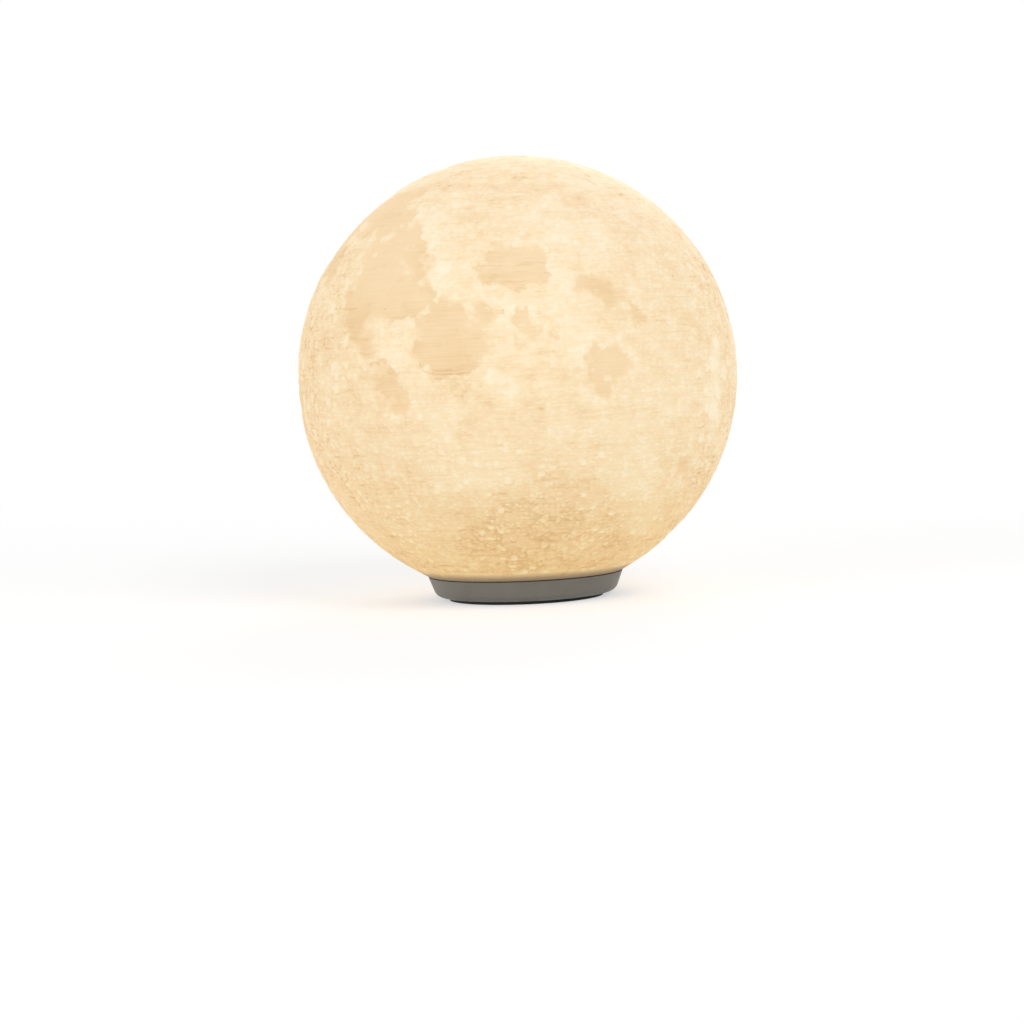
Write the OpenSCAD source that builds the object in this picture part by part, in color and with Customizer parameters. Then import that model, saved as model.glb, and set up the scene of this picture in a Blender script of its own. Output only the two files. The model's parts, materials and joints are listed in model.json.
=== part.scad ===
// Moon lamp. A printed moon globe twists onto a small round base, which holds the
// lights, the rechargeable cell and the controls. The base's turret reaches up
// through the mouth of the globe and carries the light board under a milky dome.
// The origin is the middle of the rest face, +Z is up and the front is towards -Y.

/* [Globe] */
// Outside diameter of the moon
globe_d = 150; // [140:1:190]
// Thickness of the printed shell
shell_t = 2.2; // [1.6:0.1:3.2]
// Thickness of the flat floor round the mouth
floor_t = 3; // [2:0.1:4]
// Depth of the dark seas below the high ground
sea_depth = 0.4; // [0.2:0.05:0.6]
// Number of scattered craters
crater_count = 72; // [12:1:90]
// Radius of the widest scattered crater
crater_r = 2.6; // [1.6:0.1:3.2]
// Depth of a crater for each millimetre of its radius
crater_steep = 0.2; // [0.12:0.01:0.24]

/* [Base] */
// Height of the seam between globe and base above the table
seam_h = 8.6; // [7.6:0.1:11]
// Radius of the globe and the base at the seam
seam_r = 33.4; // [32.4:0.1:38]
// Angle of the side of the base from upright, in degrees
side_angle = 21; // [10:1:26]
// Radius of the rounded bottom edge of the base
edge_round = 3.5; // [2:0.1:4]
// Depth of the shadow gap under the rim of the globe
shadow_depth = 0.4; // [0.2:0.05:0.8]
// Width of the shadow gap
shadow_w = 1.6; // [1:0.1:2.4]
// Thickness of the ring that the globe sits on
flange_t = 2; // [1.4:0.1:2.6]
// Width of the bottom lip round the cover
lip_w = 1.2; // [0.8:0.1:1.6]
// Width of the ledge that the cover is drawn up against
ledge_w = 1.4; // [1:0.1:2]

/* [Twist lock] */
// Number of lugs in the ring
lug_count = 3; // [2:1:4]
// Width of a lug, in degrees
lug_w = 14; // [10:1:18]
// Height of a lug
lug_h = 2; // [1.4:0.1:2.6]
// How far a lug reaches inwards from the wall of its ring
lug_reach = 2; // [1.4:0.1:2.6]
// Height of the underside of the lugs above the seam
lug_rise = 5; // [4.6:0.1:7]
// Thickness of the ledge over a locked lug
catch_t = 2; // [1.4:0.1:3]
// Turn from locked to the entry slots, in degrees
twist_turn = 22; // [19:1:28]
// Wall of the lock ring that is glued into the globe
ring_wall = 2.7; // [2:0.1:3]
// Width of the flange of the lock ring
ring_flange_w = 3.6; // [2:0.1:5]
// Thickness of the flange of the lock ring
ring_flange_t = 1.5; // [1:0.1:1.8]

/* [Turret and light] */
// Wall of the turret round the cell
turret_wall = 2.2; // [2:0.1:2.8]
// Thickness of the deck under the light board
deck_t = 2; // [1.6:0.1:3]
// Depth of the skirt that the dome has over the top of the turret
skirt_h = 3.5; // [3:0.1:5]
// Wall of the milky dome
dome_wall = 1.2; // [1:0.1:1.4]
// Height of the straight part of the dome above the deck
dome_side = 4.4; // [3.8:0.1:8]
// Height of the domed part
dome_rise = 12; // [8:0.5:18]
// Thickness of the light board
light_board_t = 1.6; // [1:0.1:2]
// Number of lights of each tint
light_count = 6; // [3:1:8]
// Radius of the ring of lights
light_circle = 11; // [9.5:0.1:12.5]

/* [Cell and control board] */
// Width of the cell
cell_w = 25; // [22:0.5:27]
// Length of the cell
cell_l = 30; // [27:0.5:32]
// Thickness of the cell
cell_t = 8; // [5:0.5:12]
// Thickness of the foam pad that holds the cell
pad_t = 1; // [0.6:0.1:2]
// Room for parts on the control board, under the cell
board_room = 4.8; // [4.6:0.1:7]
// Thickness of the control board
board_t = 1.2; // [1:0.1:1.6]
// Radius of a lead with its insulation
lead_r = 0.6; // [0.4:0.05:0.7]

/* [Cover and controls] */
// How far the foot ring stands below the base
foot_proud = 1.2; // [0.8:0.1:1.6]
// Width of the foot ring
foot_w = 1.8; // [1.4:0.1:2.2]
// Depth of the groove that holds the foot ring
foot_groove = 0.7; // [0.4:0.1:1]
// Thickness of the bottom cover
cover_t = 2.5; // [2.2:0.1:3]
// Inside radius of the metal touch ring
touch_r = 13.2; // [12.8:0.1:14.2]
// Width of the metal touch ring
touch_w = 3; // [2.6:0.1:3.4]
// Thickness of the metal touch ring
touch_t = 1; // [0.6:0.1:1.2]
// Radius of the push button
button_r = 5.5; // [4.5:0.1:6]
// How deep the button's face lies in the cover
button_recess = 1; // [0.6:0.1:1.4]
// Travel of the push button
button_travel = 0.8; // [0.4:0.1:1]
// Width of the button's flange inside the cover
button_flange_w = 1.6; // [1.2:0.1:1.8]
// Thickness of the button's flange
button_flange_t = 1; // [0.8:0.1:1.4]
// Width of the switch behind the button
switch_w = 6; // [5:0.1:6.5]
// Height of the switch behind the button
switch_h = 3.5; // [3:0.1:5]
// Radius of the switch's plunger
plunger_r = 1.7; // [1.2:0.1:2]
// Width of the charging socket
socket_w = 8.9; // [8:0.1:9.4]
// Thickness of the charging socket
socket_t = 3.2; // [2.8:0.1:3.6]
// Wall of the charging socket
socket_wall = 0.3; // [0.2:0.05:0.4]
// Radius of the charge light
pipe_r = 1.5; // [1:0.1:2]

/* [Screws] */
// Radius of the cover screws' heads
screw_head_r = 2; // [1.6:0.1:2.2]
// Thickness of the cover screws' heads
screw_head_t = 1.2; // [0.8:0.1:1.4]
// Radius of the cover screws' shanks
screw_r = 0.9; // [0.7:0.05:1]
// How far the cover screws reach into the housing
screw_grip = 4.5; // [3.5:0.1:5]
// Radius of the small screws' heads
small_head_r = 1.6; // [1.3:0.1:1.8]
// Thickness of the small screws' heads
small_head_t = 1; // [0.7:0.1:1.2]
// Radius of the small screws' shanks
small_r = 0.7; // [0.5:0.05:0.8]
// How far the small screws reach into what they hold on to
small_grip = 3; // [2:0.1:3.4]

/* [Clearances] */
// Gap between parts that turn or slide past each other
run_gap = 0.3; // [0.2:0.05:0.4]
// Gap round parts that are fixed in place
fit_gap = 0.1; // [0.05:0.05:0.2]

/* [Hidden] */
$fn = 96;
globe_fn = 320;
globe_r = globe_d / 2;
// The seam cuts the globe where its radius is seam_r
globe_drop = sqrt(globe_r * globe_r - seam_r * seam_r);
globe_z = seam_h + globe_drop;
// Overrun that keeps a cut or a join from ending on a face
bite = 1;

// Heights of the stack in the base, from the table up
cover_z = foot_proud;
cover_top = cover_z + cover_t;
button_face = cover_z + button_recess;
button_top = cover_top + button_flange_t + fit_gap;
plunger_out = button_travel + run_gap;
switch_z = button_top + plunger_out;
board_z = switch_z + switch_h;
board_top = board_z + board_t;
cell_z = board_top + board_room;
deck_z = cell_z + cell_t + pad_t;
deck_top = deck_z + deck_t;
light_top = deck_top + light_board_t;

// Radii from the cell outwards
bay_r = sqrt(cell_w * cell_w + cell_l * cell_l) / 2 + run_gap;
board_r = bay_r - run_gap;
turret_r = bay_r + turret_wall;
spigot_r = turret_r + lug_reach;
ring_r = spigot_r + run_gap;
ring_out = ring_r + ring_wall;
mouth_r = ring_out + fit_gap;
lug_tip_r = turret_r + run_gap;
slot_r = turret_r - fit_gap;
neck_r = turret_r - dome_wall - fit_gap;
light_board_r = neck_r - fit_gap;

// Heights of the twist lock
lug_z = seam_h + lug_rise;
catch_z = lug_z + lug_h + fit_gap;
spigot_top = catch_z + catch_t;
slot_spare = 1;

// The rounded bottom edge touches the side and the flat underside
rim_z = seam_h - shadow_depth;
edge_z = cover_z + edge_round;
edge_x = seam_r + ((edge_z - rim_z) * sin(side_angle) - edge_round) / cos(side_angle);
opening_r = edge_x - lip_w;
cover_r = opening_r - fit_gap;
foot_out = cover_r - lip_w / 2;
foot_in = foot_out - foot_w;
screw_land = 0.5;
screw_circle = foot_in - screw_head_r - screw_land;
screw_angles = [90, 210, 330];
boss_wall = 0.5;

// Places on the cover and the control board
touch_mid = touch_r + touch_w / 2;
band_mid = (button_r + button_flange_w + touch_r) / 2;
post_angles = [0, 120, 240];
post_r = 2.2;
pin_angle = 300;
pin_r = 0.9;
tip_gap = 0.5;
button_stem_r = 2.4;
plunger_in = 1.2;
switch_roof = 0.6;
pipe_flange_w = 0.8;

// The socket's mouth lies a little inside the cover, and its tongue a little deeper
socket_z = cover_z + 0.5;
tongue_z = cover_z + 1.2;
socket_roof = 1;
tongue_t = 0.7;

// Small lights: width across the ring, length along it, and height
light_size = [2.8, 3.5, 0.8];
charge_size = [1.6, 0.8, 0.8];

// The plug lies in a header that is open towards the front
lead_gap = 2;
lead_y = cell_l / 2 + 2;
lead_hole_r = lead_gap / 2 + lead_r + run_gap;
plug_size = [5, 5, 2.6];
plug_x = 2;
plug_y = -cell_l / 2 - 0.6;
plug_out = 1.4;
header_wall = 0.6;
plug_z = board_top + header_wall + fit_gap;
light_screw_x = (cell_w / 2 + bay_r) / 2;

// The bead that the dome snaps over, measured down from the deck's top
bead_low = 2;
bead_high = 1.2;
bead_out = 0.25;

// Seas of the moon: latitude, longitude from the front, and radius, in degrees.
// The moon is turned so that the seas lie as on the lamp's front.
SEAS = [
    [24, -40, 11], [16, -45, 7], [34, -33, 7], [50, -55, 9],
    [31, 1, 7], [31, 10, 6], [13, -18, 6], [10, -9, 5], [-1, -37, 5],
    [22, 26, 3], [18, 33, 3], [8, 21, 3],
    [47, -96, 17], [74, -94, 6], [32, -69, 5], [19, -104, 8], [4, -91, 7],
    [-6, -83, 9], [-14, -103, 6], [31, -141, 13], [15, -131, 12], [1, -119, 9],
    [60, 42, 3], [15, 84, 5], [-31, 12, 7], [-26, -155, 5], [-48, 82, 4], [-25, 52, 3]
];
// Wide craters: latitude, longitude from the front, and radius in millimetres
CRATERS = [
    [6, -7, 2.8], [-10, -13, 3.8], [-24, -3, 2.6], [-27, 57, 3.2], [-40, -30, 4.6],
    [-26, -74, 2.4], [24, -94, 2.4], [-47, 8, 3.4], [-43, -52, 3.6], [-18, 36, 3],
    [5, 58, 3.2], [44, 24, 3], [-36, 130, 4.2], [8, 160, 3.6], [40, 120, 3.8],
    [-8, -170, 4.4], [-50, -120, 4]
];

// Chips on the control board: middle in X and Y, then width, length and height
CHIPS = [
    [7, 5, 5, 4, 1.2], [-6, -4, 3, 5, 1.2], [-6, 6, 4, 4, 2.4], [8, -4, 3, 3, 1],
    [0, 12, 4, 2, 1.4]
];

// ---- Helpers -------------------------------------------------------------

// A ring with a square section, or the part of it over an angle from zero
module band(r_in, r_out, z_low, z_high, turn = 360) {
    rotate_extrude(angle = turn)
        translate([r_in, z_low])
            square([r_out - r_in, z_high - z_low]);
}

// The same, centred on an angle
module arc_band(r_in, r_out, z_low, z_high, at, turn) {
    rotate([0, 0, at - turn / 2])
        band(r_in, r_out, z_low, z_high, turn);
}

module rod(r, z_low, z_high) {
    translate([0, 0, z_low])
        cylinder(r = r, h = z_high - z_low);
}

// Puts its children on the globe's axis through a latitude and longitude
module on_globe(lat, lon) {
    translate([0, 0, globe_z])
        rotate([0, 90 - lat, lon - 90])
            children();
}

// Copies its children round the axis at a radius
module around(angles, r) {
    for (a = angles) {
        rotate([0, 0, a])
            translate([r, 0, 0])
                children();
    }
}

// A slot shape with round ends, upright
module slot_block(w, t, z_low, z_high) {
    for (x = [-1, 1]) {
        translate([x * (w - t) / 2, 0, 0])
            rod(t / 2, z_low, z_high);
    }
    translate([-(w - t) / 2, -t / 2, z_low])
        cube([w - t, t, z_high - z_low]);
}

// A wire with round corners through a list of points
module wire(points) {
    for (i = [1 : len(points) - 1]) {
        step = points[i] - points[i - 1];
        span = norm(step);
        translate(points[i - 1])
            rotate([0, acos(step.z / span), atan2(step.y, step.x)])
                cylinder(r = lead_r, h = span, $fn = 24);
    }
    for (i = [1 : 1 : len(points) - 2]) {
        translate(points[i])
            sphere(r = lead_r, $fn = 24);
    }
}

// ---- Globe ---------------------------------------------------------------

// A bowl pressed into the surface, radius a across its rim
module crater(lat, lon, a) {
    chord = sqrt(globe_r * globe_r - a * a);
    below = a * crater_steep - (globe_r - chord);
    bowl_r = (a * a + below * below) / (2 * below);
    on_globe(lat, lon)
        translate([0, 0, chord + bowl_r - below])
            sphere(r = bowl_r);
}

module sea_cuts() {
    intersection() {
        union() {
            for (s = SEAS) {
                on_globe(s[0], s[1])
                    rod(globe_r * sin(s[2]), globe_r / 2, globe_r * 1.5);
            }
        }
        translate([0, 0, globe_z])
            difference() {
                sphere(r = globe_r + bite, $fn = globe_fn);
                sphere(r = globe_r - sea_depth, $fn = globe_fn);
            }
    }
}

module crater_cuts() {
    for (i = [0 : crater_count - 1]) {
        share = (i + 0.5) / crater_count;
        lat = -57 + 132 * pow(share, 1.3);
        size = crater_r * (0.5 + 0.5 * abs(sin(47 * i)));
        crater(lat, 137.5 * i, size);
    }
    for (c = CRATERS) {
        crater(c[0], c[1], c[2]);
    }
}

module moon_globe() {
    color("#f3dfb6")
        difference() {
            translate([0, 0, globe_z])
                sphere(r = globe_r, $fn = globe_fn);
            intersection() {
                translate([0, 0, globe_z])
                    sphere(r = globe_r - shell_t, $fn = globe_fn);
                rod(globe_r, seam_h + floor_t, seam_h + globe_d);
            }
            rod(globe_r, seam_h - globe_r, seam_h);
            rod(mouth_r, seam_h - bite, seam_h + floor_t + bite);
            sea_cuts();
            crater_cuts();
        }
}

module lock_ring() {
    flange_z = seam_h + floor_t;
    color("#e9e4d8") {
        band(ring_r, ring_out, seam_h + fit_gap, spigot_top);
        band(ring_out - bite, ring_out + ring_flange_w, flange_z, flange_z + ring_flange_t);
        for (i = [0 : lug_count - 1]) {
            arc_band(lug_tip_r, ring_r + bite, lug_z, lug_z + lug_h, 360 / lug_count * i, lug_w);
        }
    }
}

// ---- Base ----------------------------------------------------------------

// Outline of the base up to the seam: rounded bottom edge, then tapered side
module base_outline() {
    steps = 12;
    turn = 90 - side_angle;
    edge = [for (i = [0 : steps])
        [edge_x, edge_z] + edge_round * [sin(turn * i / steps), -cos(turn * i / steps)]];
    polygon(concat([[0, cover_z]], edge, [
        [seam_r, rim_z], [seam_r - shadow_w, rim_z], [seam_r - shadow_w, seam_h], [0, seam_h]
    ]));
}

// A channel from each lug's locked place to an entry slot, which is a little deeper
module lock_slots() {
    half = lug_w / 2 + slot_spare;
    low = lug_z - run_gap;
    for (i = [0 : lug_count - 1]) {
        locked = 360 / lug_count * i;
        arc_band(slot_r, spigot_r + bite, low, catch_z,
            locked + (twist_turn - half) / 2, twist_turn + half);
        arc_band(slot_r - fit_gap, spigot_r + bite, low - fit_gap, spigot_top + bite,
            locked + twist_turn, 2 * half);
    }
}

module base_housing() {
    light_boss_r = small_r + 2 * boss_wall;
    color("#77726a")
        difference() {
            union() {
                rotate_extrude()
                    base_outline();
                rod(spigot_r, seam_h - bite, spigot_top);
                rod(turret_r, seam_h - bite, deck_top - skirt_h);
                rod(neck_r, seam_h - bite, deck_top);
                band(neck_r - bite, neck_r + bead_out, deck_top - bead_low, deck_top - bead_high);
            }
            lock_slots();
            // The opening for the cover
            rod(opening_r, cover_z - bite, cover_top);
            // The hollow above the ledge, and the bay for the board and the cell under the
            // deck, less the bosses for the screws
            difference() {
                union() {
                    rod(opening_r - ledge_w, cover_top - bite, seam_h - flange_t);
                    rod(bay_r, cover_top - bite, deck_z);
                }
                around(screw_angles, screw_circle)
                    rod(screw_head_r + boss_wall, cover_top, board_z - run_gap);
                around([0, 180], light_screw_x)
                    rod(light_boss_r, deck_top - small_grip - 2 * tip_gap, deck_z + bite);
            }
            around([0, 180], light_screw_x)
                rod(small_r, deck_top - small_grip - tip_gap, deck_top + bite);
            translate([0, lead_y, 0])
                rod(lead_hole_r, deck_z - bite, deck_top + bite);
            around(screw_angles, screw_circle)
                rod(screw_r, cover_top - bite, cover_top + screw_grip + tip_gap);
        }
}

module bottom_cover() {
    color("#716d66")
        difference() {
            union() {
                rod(cover_r, cover_z, cover_top);
                around(post_angles, touch_mid)
                    rod(post_r, cover_top - bite, board_z);
            }
            band(foot_in - fit_gap, foot_out + fit_gap, cover_z - bite, cover_z + foot_groove);
            band(touch_r - fit_gap, touch_r + touch_w + fit_gap, cover_z - bite,
                cover_z + touch_t);
            rod(button_r + run_gap, cover_z - bite, cover_top + bite);
            translate([0, band_mid, 0])
                slot_block(socket_w + 2 * fit_gap, socket_t + 2 * fit_gap,
                    cover_z - bite, cover_top + bite);
            translate([0, -band_mid, 0])
                rod(pipe_r + fit_gap, cover_z - bite, cover_top + bite);
            around([pin_angle], touch_mid)
                rod(pin_r + fit_gap, cover_z - bite, cover_top + bite);
            around(post_angles, touch_mid)
                rod(small_r, board_z - small_grip - tip_gap, board_z + bite);
            around(screw_angles, screw_circle) {
                rod(screw_r + fit_gap, cover_z - bite, cover_top + bite);
                rod(screw_head_r + fit_gap, cover_z - bite, cover_z + screw_head_t);
            }
        }
}

// A pan-head screw that points up, with a cross recess. Its head stands on z = 0.
module screw_up(r, head_r, head_t, length) {
    cross_w = head_r * 0.24;
    cross_l = head_r * 1.2;
    difference() {
        union() {
            rod(head_r, 0, head_t);
            rod(r, 0, head_t + length);
        }
        for (a = [0, 90]) {
            rotate([0, 0, a])
                translate([-cross_l / 2, -cross_w / 2, -bite])
                    cube([cross_l, cross_w, bite + head_t / 2]);
        }
    }
}

// A small screw that points down, its head on a board of thickness t
module screw_down(z_board, t) {
    translate([0, 0, z_board + small_head_t])
        mirror([0, 0, 1])
            screw_up(small_r, small_head_r, small_head_t, t + small_grip);
}

module cover_screws() {
    color("#c9c9c6")
        around(screw_angles, screw_circle)
            translate([0, 0, cover_z])
                screw_up(screw_r, screw_head_r, screw_head_t,
                    cover_t - screw_head_t + screw_grip);
}

module foot_ring() {
    color("#3c3a38")
        band(foot_in, foot_out, 0, cover_z + foot_groove);
}

module touch_ring() {
    color("#d7d8da")
        band(touch_r, touch_r + touch_w, cover_z, cover_z + touch_t);
}

module touch_pin() {
    color("#c9a24b")
        around([pin_angle], touch_mid)
            rod(pin_r, cover_z + touch_t, board_z);
}

// ---- Button and switch ---------------------------------------------------

module power_button() {
    flange_top = cover_top + button_flange_t;
    color("#8c887f") {
        rod(button_r, button_face, flange_top);
        rod(button_r + button_flange_w, cover_top, flange_top);
        rod(button_stem_r, cover_top, button_top);
    }
}

module switch_plunger() {
    color("#2b2b2b")
        rod(plunger_r, button_top, switch_z + plunger_in);
}

module switch_body() {
    color("#3a3a3a")
        difference() {
            translate([-switch_w / 2, -switch_w / 2, switch_z])
                cube([switch_w, switch_w, switch_h]);
            rod(plunger_r + run_gap, switch_z - bite, board_z - switch_roof);
        }
}

// ---- Charging socket and charge light ------------------------------------

module socket_shell() {
    color("#b9bbbd")
        translate([0, band_mid, 0])
            difference() {
                slot_block(socket_w, socket_t, socket_z, board_z);
                slot_block(socket_w - 2 * socket_wall, socket_t - 2 * socket_wall,
                    socket_z - bite, board_z - socket_roof);
            }
}

module socket_tongue() {
    tongue_w = socket_w * 0.75;
    color("#1f1f21")
        translate([-tongue_w / 2, band_mid - tongue_t / 2, tongue_z])
            cube([tongue_w, tongue_t, board_z - socket_roof - tongue_z]);
}

module charge_light_pipe() {
    color("#e6ebee")
        translate([0, -band_mid, 0]) {
            rod(pipe_r, cover_z, board_z - charge_size.z - fit_gap);
            rod(pipe_r + pipe_flange_w, cover_top, cover_top + button_flange_t);
        }
}

module charge_light() {
    color("#f4f2e2")
        translate([-charge_size.x / 2, -band_mid - charge_size.y / 2, board_z - charge_size.z])
            cube(charge_size);
}

// ---- Control board -------------------------------------------------------

module control_board() {
    color("#1f6b3f")
        difference() {
            rod(board_r, board_z, board_top);
            around(post_angles, touch_mid)
                rod(small_r + fit_gap, board_z - bite, board_top + bite);
        }
}

module board_chips() {
    color("#26282b")
        for (c = CHIPS) {
            translate([c[0] - c[2] / 2, c[1] - c[3] / 2, board_top])
                cube([c[2], c[3], c[4]]);
        }
}

module board_screws() {
    color("#c9c9c6")
        around(post_angles, touch_mid)
            screw_down(board_top, board_t);
}

// A box round the plug, open at the front, where the plug stands out
module board_header() {
    hole = plug_size + [2, 2, 2] * fit_gap;
    color("#efe9dc")
        translate([plug_x, plug_y + plug_out, board_top])
            difference() {
                translate([-hole.x / 2 - header_wall, 0, 0])
                    cube([hole.x + 2 * header_wall, hole.y - plug_out + header_wall,
                        hole.z + 2 * header_wall]);
                translate([-hole.x / 2, -bite, header_wall])
                    cube([hole.x, hole.y - plug_out - fit_gap + bite, hole.z]);
            }
}

module cell_plug() {
    color("#f2eee4")
        translate([plug_x - plug_size.x / 2, plug_y, plug_z])
            cube(plug_size);
}

// ---- Cell ----------------------------------------------------------------

// One lead from the end of the cell down into the plug
module cell_lead(x) {
    high = cell_z + cell_t / 2;
    low = plug_z + plug_size.z / 2;
    out = -lead_y;
    wire([[x, -cell_l / 2, high], [x, out, high], [x, out, low], [x, plug_y, low]]);
}

module cell_lead_red() {
    color("#c4302b")
        cell_lead(plug_x + lead_gap / 2);
}

module cell_lead_black() {
    color("#202022")
        cell_lead(plug_x - lead_gap / 2);
}

module cell() {
    round_r = 1;
    color("#b8bcc2")
        translate([0, 0, cell_z]) {
            translate([-cell_w / 2 + round_r, -cell_l / 2, 0])
                cube([cell_w - 2 * round_r, cell_l, cell_t]);
            translate([-cell_w / 2, -cell_l / 2, round_r])
                cube([cell_w, cell_l, cell_t - 2 * round_r]);
            for (x = [-1, 1]) {
                for (z = [round_r, cell_t - round_r]) {
                    translate([x * (cell_w / 2 - round_r), -cell_l / 2, z])
                        rotate([-90, 0, 0])
                            cylinder(r = round_r, h = cell_l, $fn = 32);
                }
            }
        }
}

module cell_pad() {
    color("#4a4a4c")
        translate([-cell_w * 0.4, -cell_l * 0.4, deck_z - pad_t])
            cube([cell_w * 0.8, cell_l * 0.8, pad_t]);
}

// ---- Light board and dome ------------------------------------------------

// Two leads from the control board up to their pads on the light board
module light_leads() {
    over = light_top + lead_r;
    pad_y = light_circle + light_size.x / 2 + 2 * lead_r;
    color("#d9d4c6")
        for (x = [-lead_gap / 2, lead_gap / 2]) {
            wire([[x, lead_y, board_top], [x, lead_y, over], [x, pad_y, over]]);
        }
}

module light_board() {
    color("#f1f1ee")
        difference() {
            rod(light_board_r, deck_top, light_top);
            around([0, 180], light_screw_x)
                rod(small_r + fit_gap, deck_top - bite, light_top + bite);
            translate([0, lead_y, 0])
                rod(lead_hole_r, deck_top - bite, light_top + bite);
        }
}

// Every second place round the ring of lights
module lights(shift) {
    step = 360 / light_count;
    for (i = [0 : light_count - 1]) {
        rotate([0, 0, step * (i + shift)])
            translate([light_circle - light_size.x / 2, -light_size.y / 2, light_top])
                cube(light_size);
    }
}

module warm_lights() {
    color("#f5c85a")
        lights(0.25);
}

module cool_lights() {
    color("#f7f2b8")
        lights(0.75);
}

module light_board_screws() {
    color("#c9c9c6")
        around([0, 180], light_screw_x)
            screw_down(light_top, light_board_t);
}

// Half of the dome's section: a straight side under a shallow cap
module dome_section(r, z_low, z_cap, rise) {
    cap_r = (r * r + rise * rise) / (2 * rise);
    translate([0, z_low])
        square([r, z_cap - z_low]);
    intersection() {
        translate([0, z_cap + rise - cap_r])
            circle(r = cap_r);
        translate([0, z_cap])
            square([r, rise]);
    }
}

module diffuser_dome() {
    skirt_z = deck_top - skirt_h;
    cap_z = deck_top + dome_side;
    color("#f6f4ee")
        rotate_extrude()
            difference() {
                dome_section(turret_r, skirt_z, cap_z, dome_rise);
                dome_section(turret_r - dome_wall, skirt_z - bite, cap_z, dome_rise - dome_wall);
                // The groove that snaps over the bead on the turret
                translate([0, deck_top - bead_low - fit_gap])
                    square([neck_r + bead_out + 2 * fit_gap, bead_low - bead_high + 2 * fit_gap]);
            }
}

moon_globe();
lock_ring();
base_housing();
bottom_cover();
cover_screws();
foot_ring();
touch_ring();
touch_pin();
power_button();
switch_plunger();
switch_body();
socket_shell();
socket_tongue();
charge_light_pipe();
charge_light();
control_board();
board_chips();
board_screws();
board_header();
cell_plug();
cell_lead_red();
cell_lead_black();
cell();
cell_pad();
light_leads();
light_board();
warm_lights();
cool_lights();
light_board_screws();
diffuser_dome();
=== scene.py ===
# %% [markdown]
# # A moon lamp in Blender
# The lamp is a printed moon, lit from inside, on a low grey base. Every piece was made to size
# before this script starts, so the first step loads those pieces as a fixed frame. What is left
# for Blender is what a drawing can't give: the moon's relief, and the finish of each surface.

# %% Load the frame
import json
import math

import bmesh
import bpy
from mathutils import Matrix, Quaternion, Vector


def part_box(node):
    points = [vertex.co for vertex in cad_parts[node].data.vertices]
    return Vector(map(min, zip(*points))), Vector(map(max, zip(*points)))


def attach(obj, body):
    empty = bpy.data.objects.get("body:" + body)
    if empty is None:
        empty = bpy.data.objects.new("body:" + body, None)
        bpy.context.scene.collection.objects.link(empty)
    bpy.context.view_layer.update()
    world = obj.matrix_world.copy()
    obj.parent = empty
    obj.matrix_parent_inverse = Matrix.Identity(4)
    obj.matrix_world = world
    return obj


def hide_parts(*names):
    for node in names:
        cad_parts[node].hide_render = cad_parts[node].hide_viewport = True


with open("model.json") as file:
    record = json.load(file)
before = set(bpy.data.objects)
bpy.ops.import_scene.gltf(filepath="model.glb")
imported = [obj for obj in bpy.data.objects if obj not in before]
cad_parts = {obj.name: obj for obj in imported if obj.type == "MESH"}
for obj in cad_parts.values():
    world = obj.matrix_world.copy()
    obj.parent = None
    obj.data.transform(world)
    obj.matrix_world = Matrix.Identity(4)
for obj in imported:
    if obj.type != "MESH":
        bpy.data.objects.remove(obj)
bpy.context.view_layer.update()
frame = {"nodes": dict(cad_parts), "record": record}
nodes = frame["nodes"]

# %% [markdown]
# Lengths are written in millimetres, because that is how such a lamp is drawn, and turned into
# metres at the last moment. The globe's own sizes come from the frame, so that the relief fits
# whatever globe was made. A sphere that is cut flat at the seam is lower than it is wide, and its
# height and the width of the cut give its radius.

# %% Sizes taken from the frame
MM = 0.001
globe_low, globe_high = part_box("moon_globe")
seam_z = globe_low.z
seam_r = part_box("base_housing")[1].x
globe_height = globe_high.z - seam_z
globe_r = (globe_height ** 2 + seam_r ** 2) / (2 * globe_height)
globe_z = globe_high.z - globe_r
# The round mouth in the shell, which the lock ring fills
MOUTH_R = 27.13 * MM
print(f"globe radius {globe_r / MM:.2f} mm, its middle {globe_z / MM:.2f} mm above the table")

# %% [markdown]
# ## Camera
# The camera comes first, because every later choice is judged through it. The photograph looks at
# the lamp from the height of the globe's middle, from a little under a metre, and is turned by two
# degrees. One point in pixels says where the middle of the globe belongs in a picture of 1024 by
# 1024, and the globe's radius in pixels gives the angle of view.

# %% Camera
FRAME_PX = 1024
GLOBE_AT_PX = Vector((517.4, 376.3))
GLOBE_R_PX = 219.6
CAMERA_BACK = 900 * MM
CAMERA_RAISED = math.radians(1.0)
CAMERA_ROLL = math.radians(2.38)


def new_object(name, data):
    made = bpy.data.objects.new(name, data)
    bpy.context.scene.collection.objects.link(made)
    return made


def make_camera():
    focal_px = GLOBE_R_PX / math.tan(math.asin(globe_r / CAMERA_BACK))
    data = bpy.data.cameras.new("camera")
    data.angle = 2 * math.atan(FRAME_PX / 2 / focal_px)
    data.clip_start, data.clip_end = 0.05, 50
    made = new_object("camera", data)
    back = Vector((0, -math.cos(CAMERA_RAISED), math.sin(CAMERA_RAISED)))
    made.location = Vector((0, 0, globe_z)) + back * CAMERA_BACK
    # Face the globe and roll, then turn until the globe's middle is at its pixel
    across = GLOBE_AT_PX.x - FRAME_PX / 2
    up = FRAME_PX / 2 - GLOBE_AT_PX.y
    ahead = Vector((0, 0, -1))
    to_pixel = Vector((across, up, -focal_px)).normalized().rotation_difference(ahead)
    made.rotation_mode = "QUATERNION"
    made.rotation_quaternion = (
        (-back).to_track_quat("-Z", "Y") @ Quaternion((0, 0, 1), -CAMERA_ROLL) @ to_pixel
    )
    bpy.context.scene.camera = made
    return made


camera = make_camera()
print(f"angle of view {math.degrees(camera.data.angle):.2f} degrees")

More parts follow.
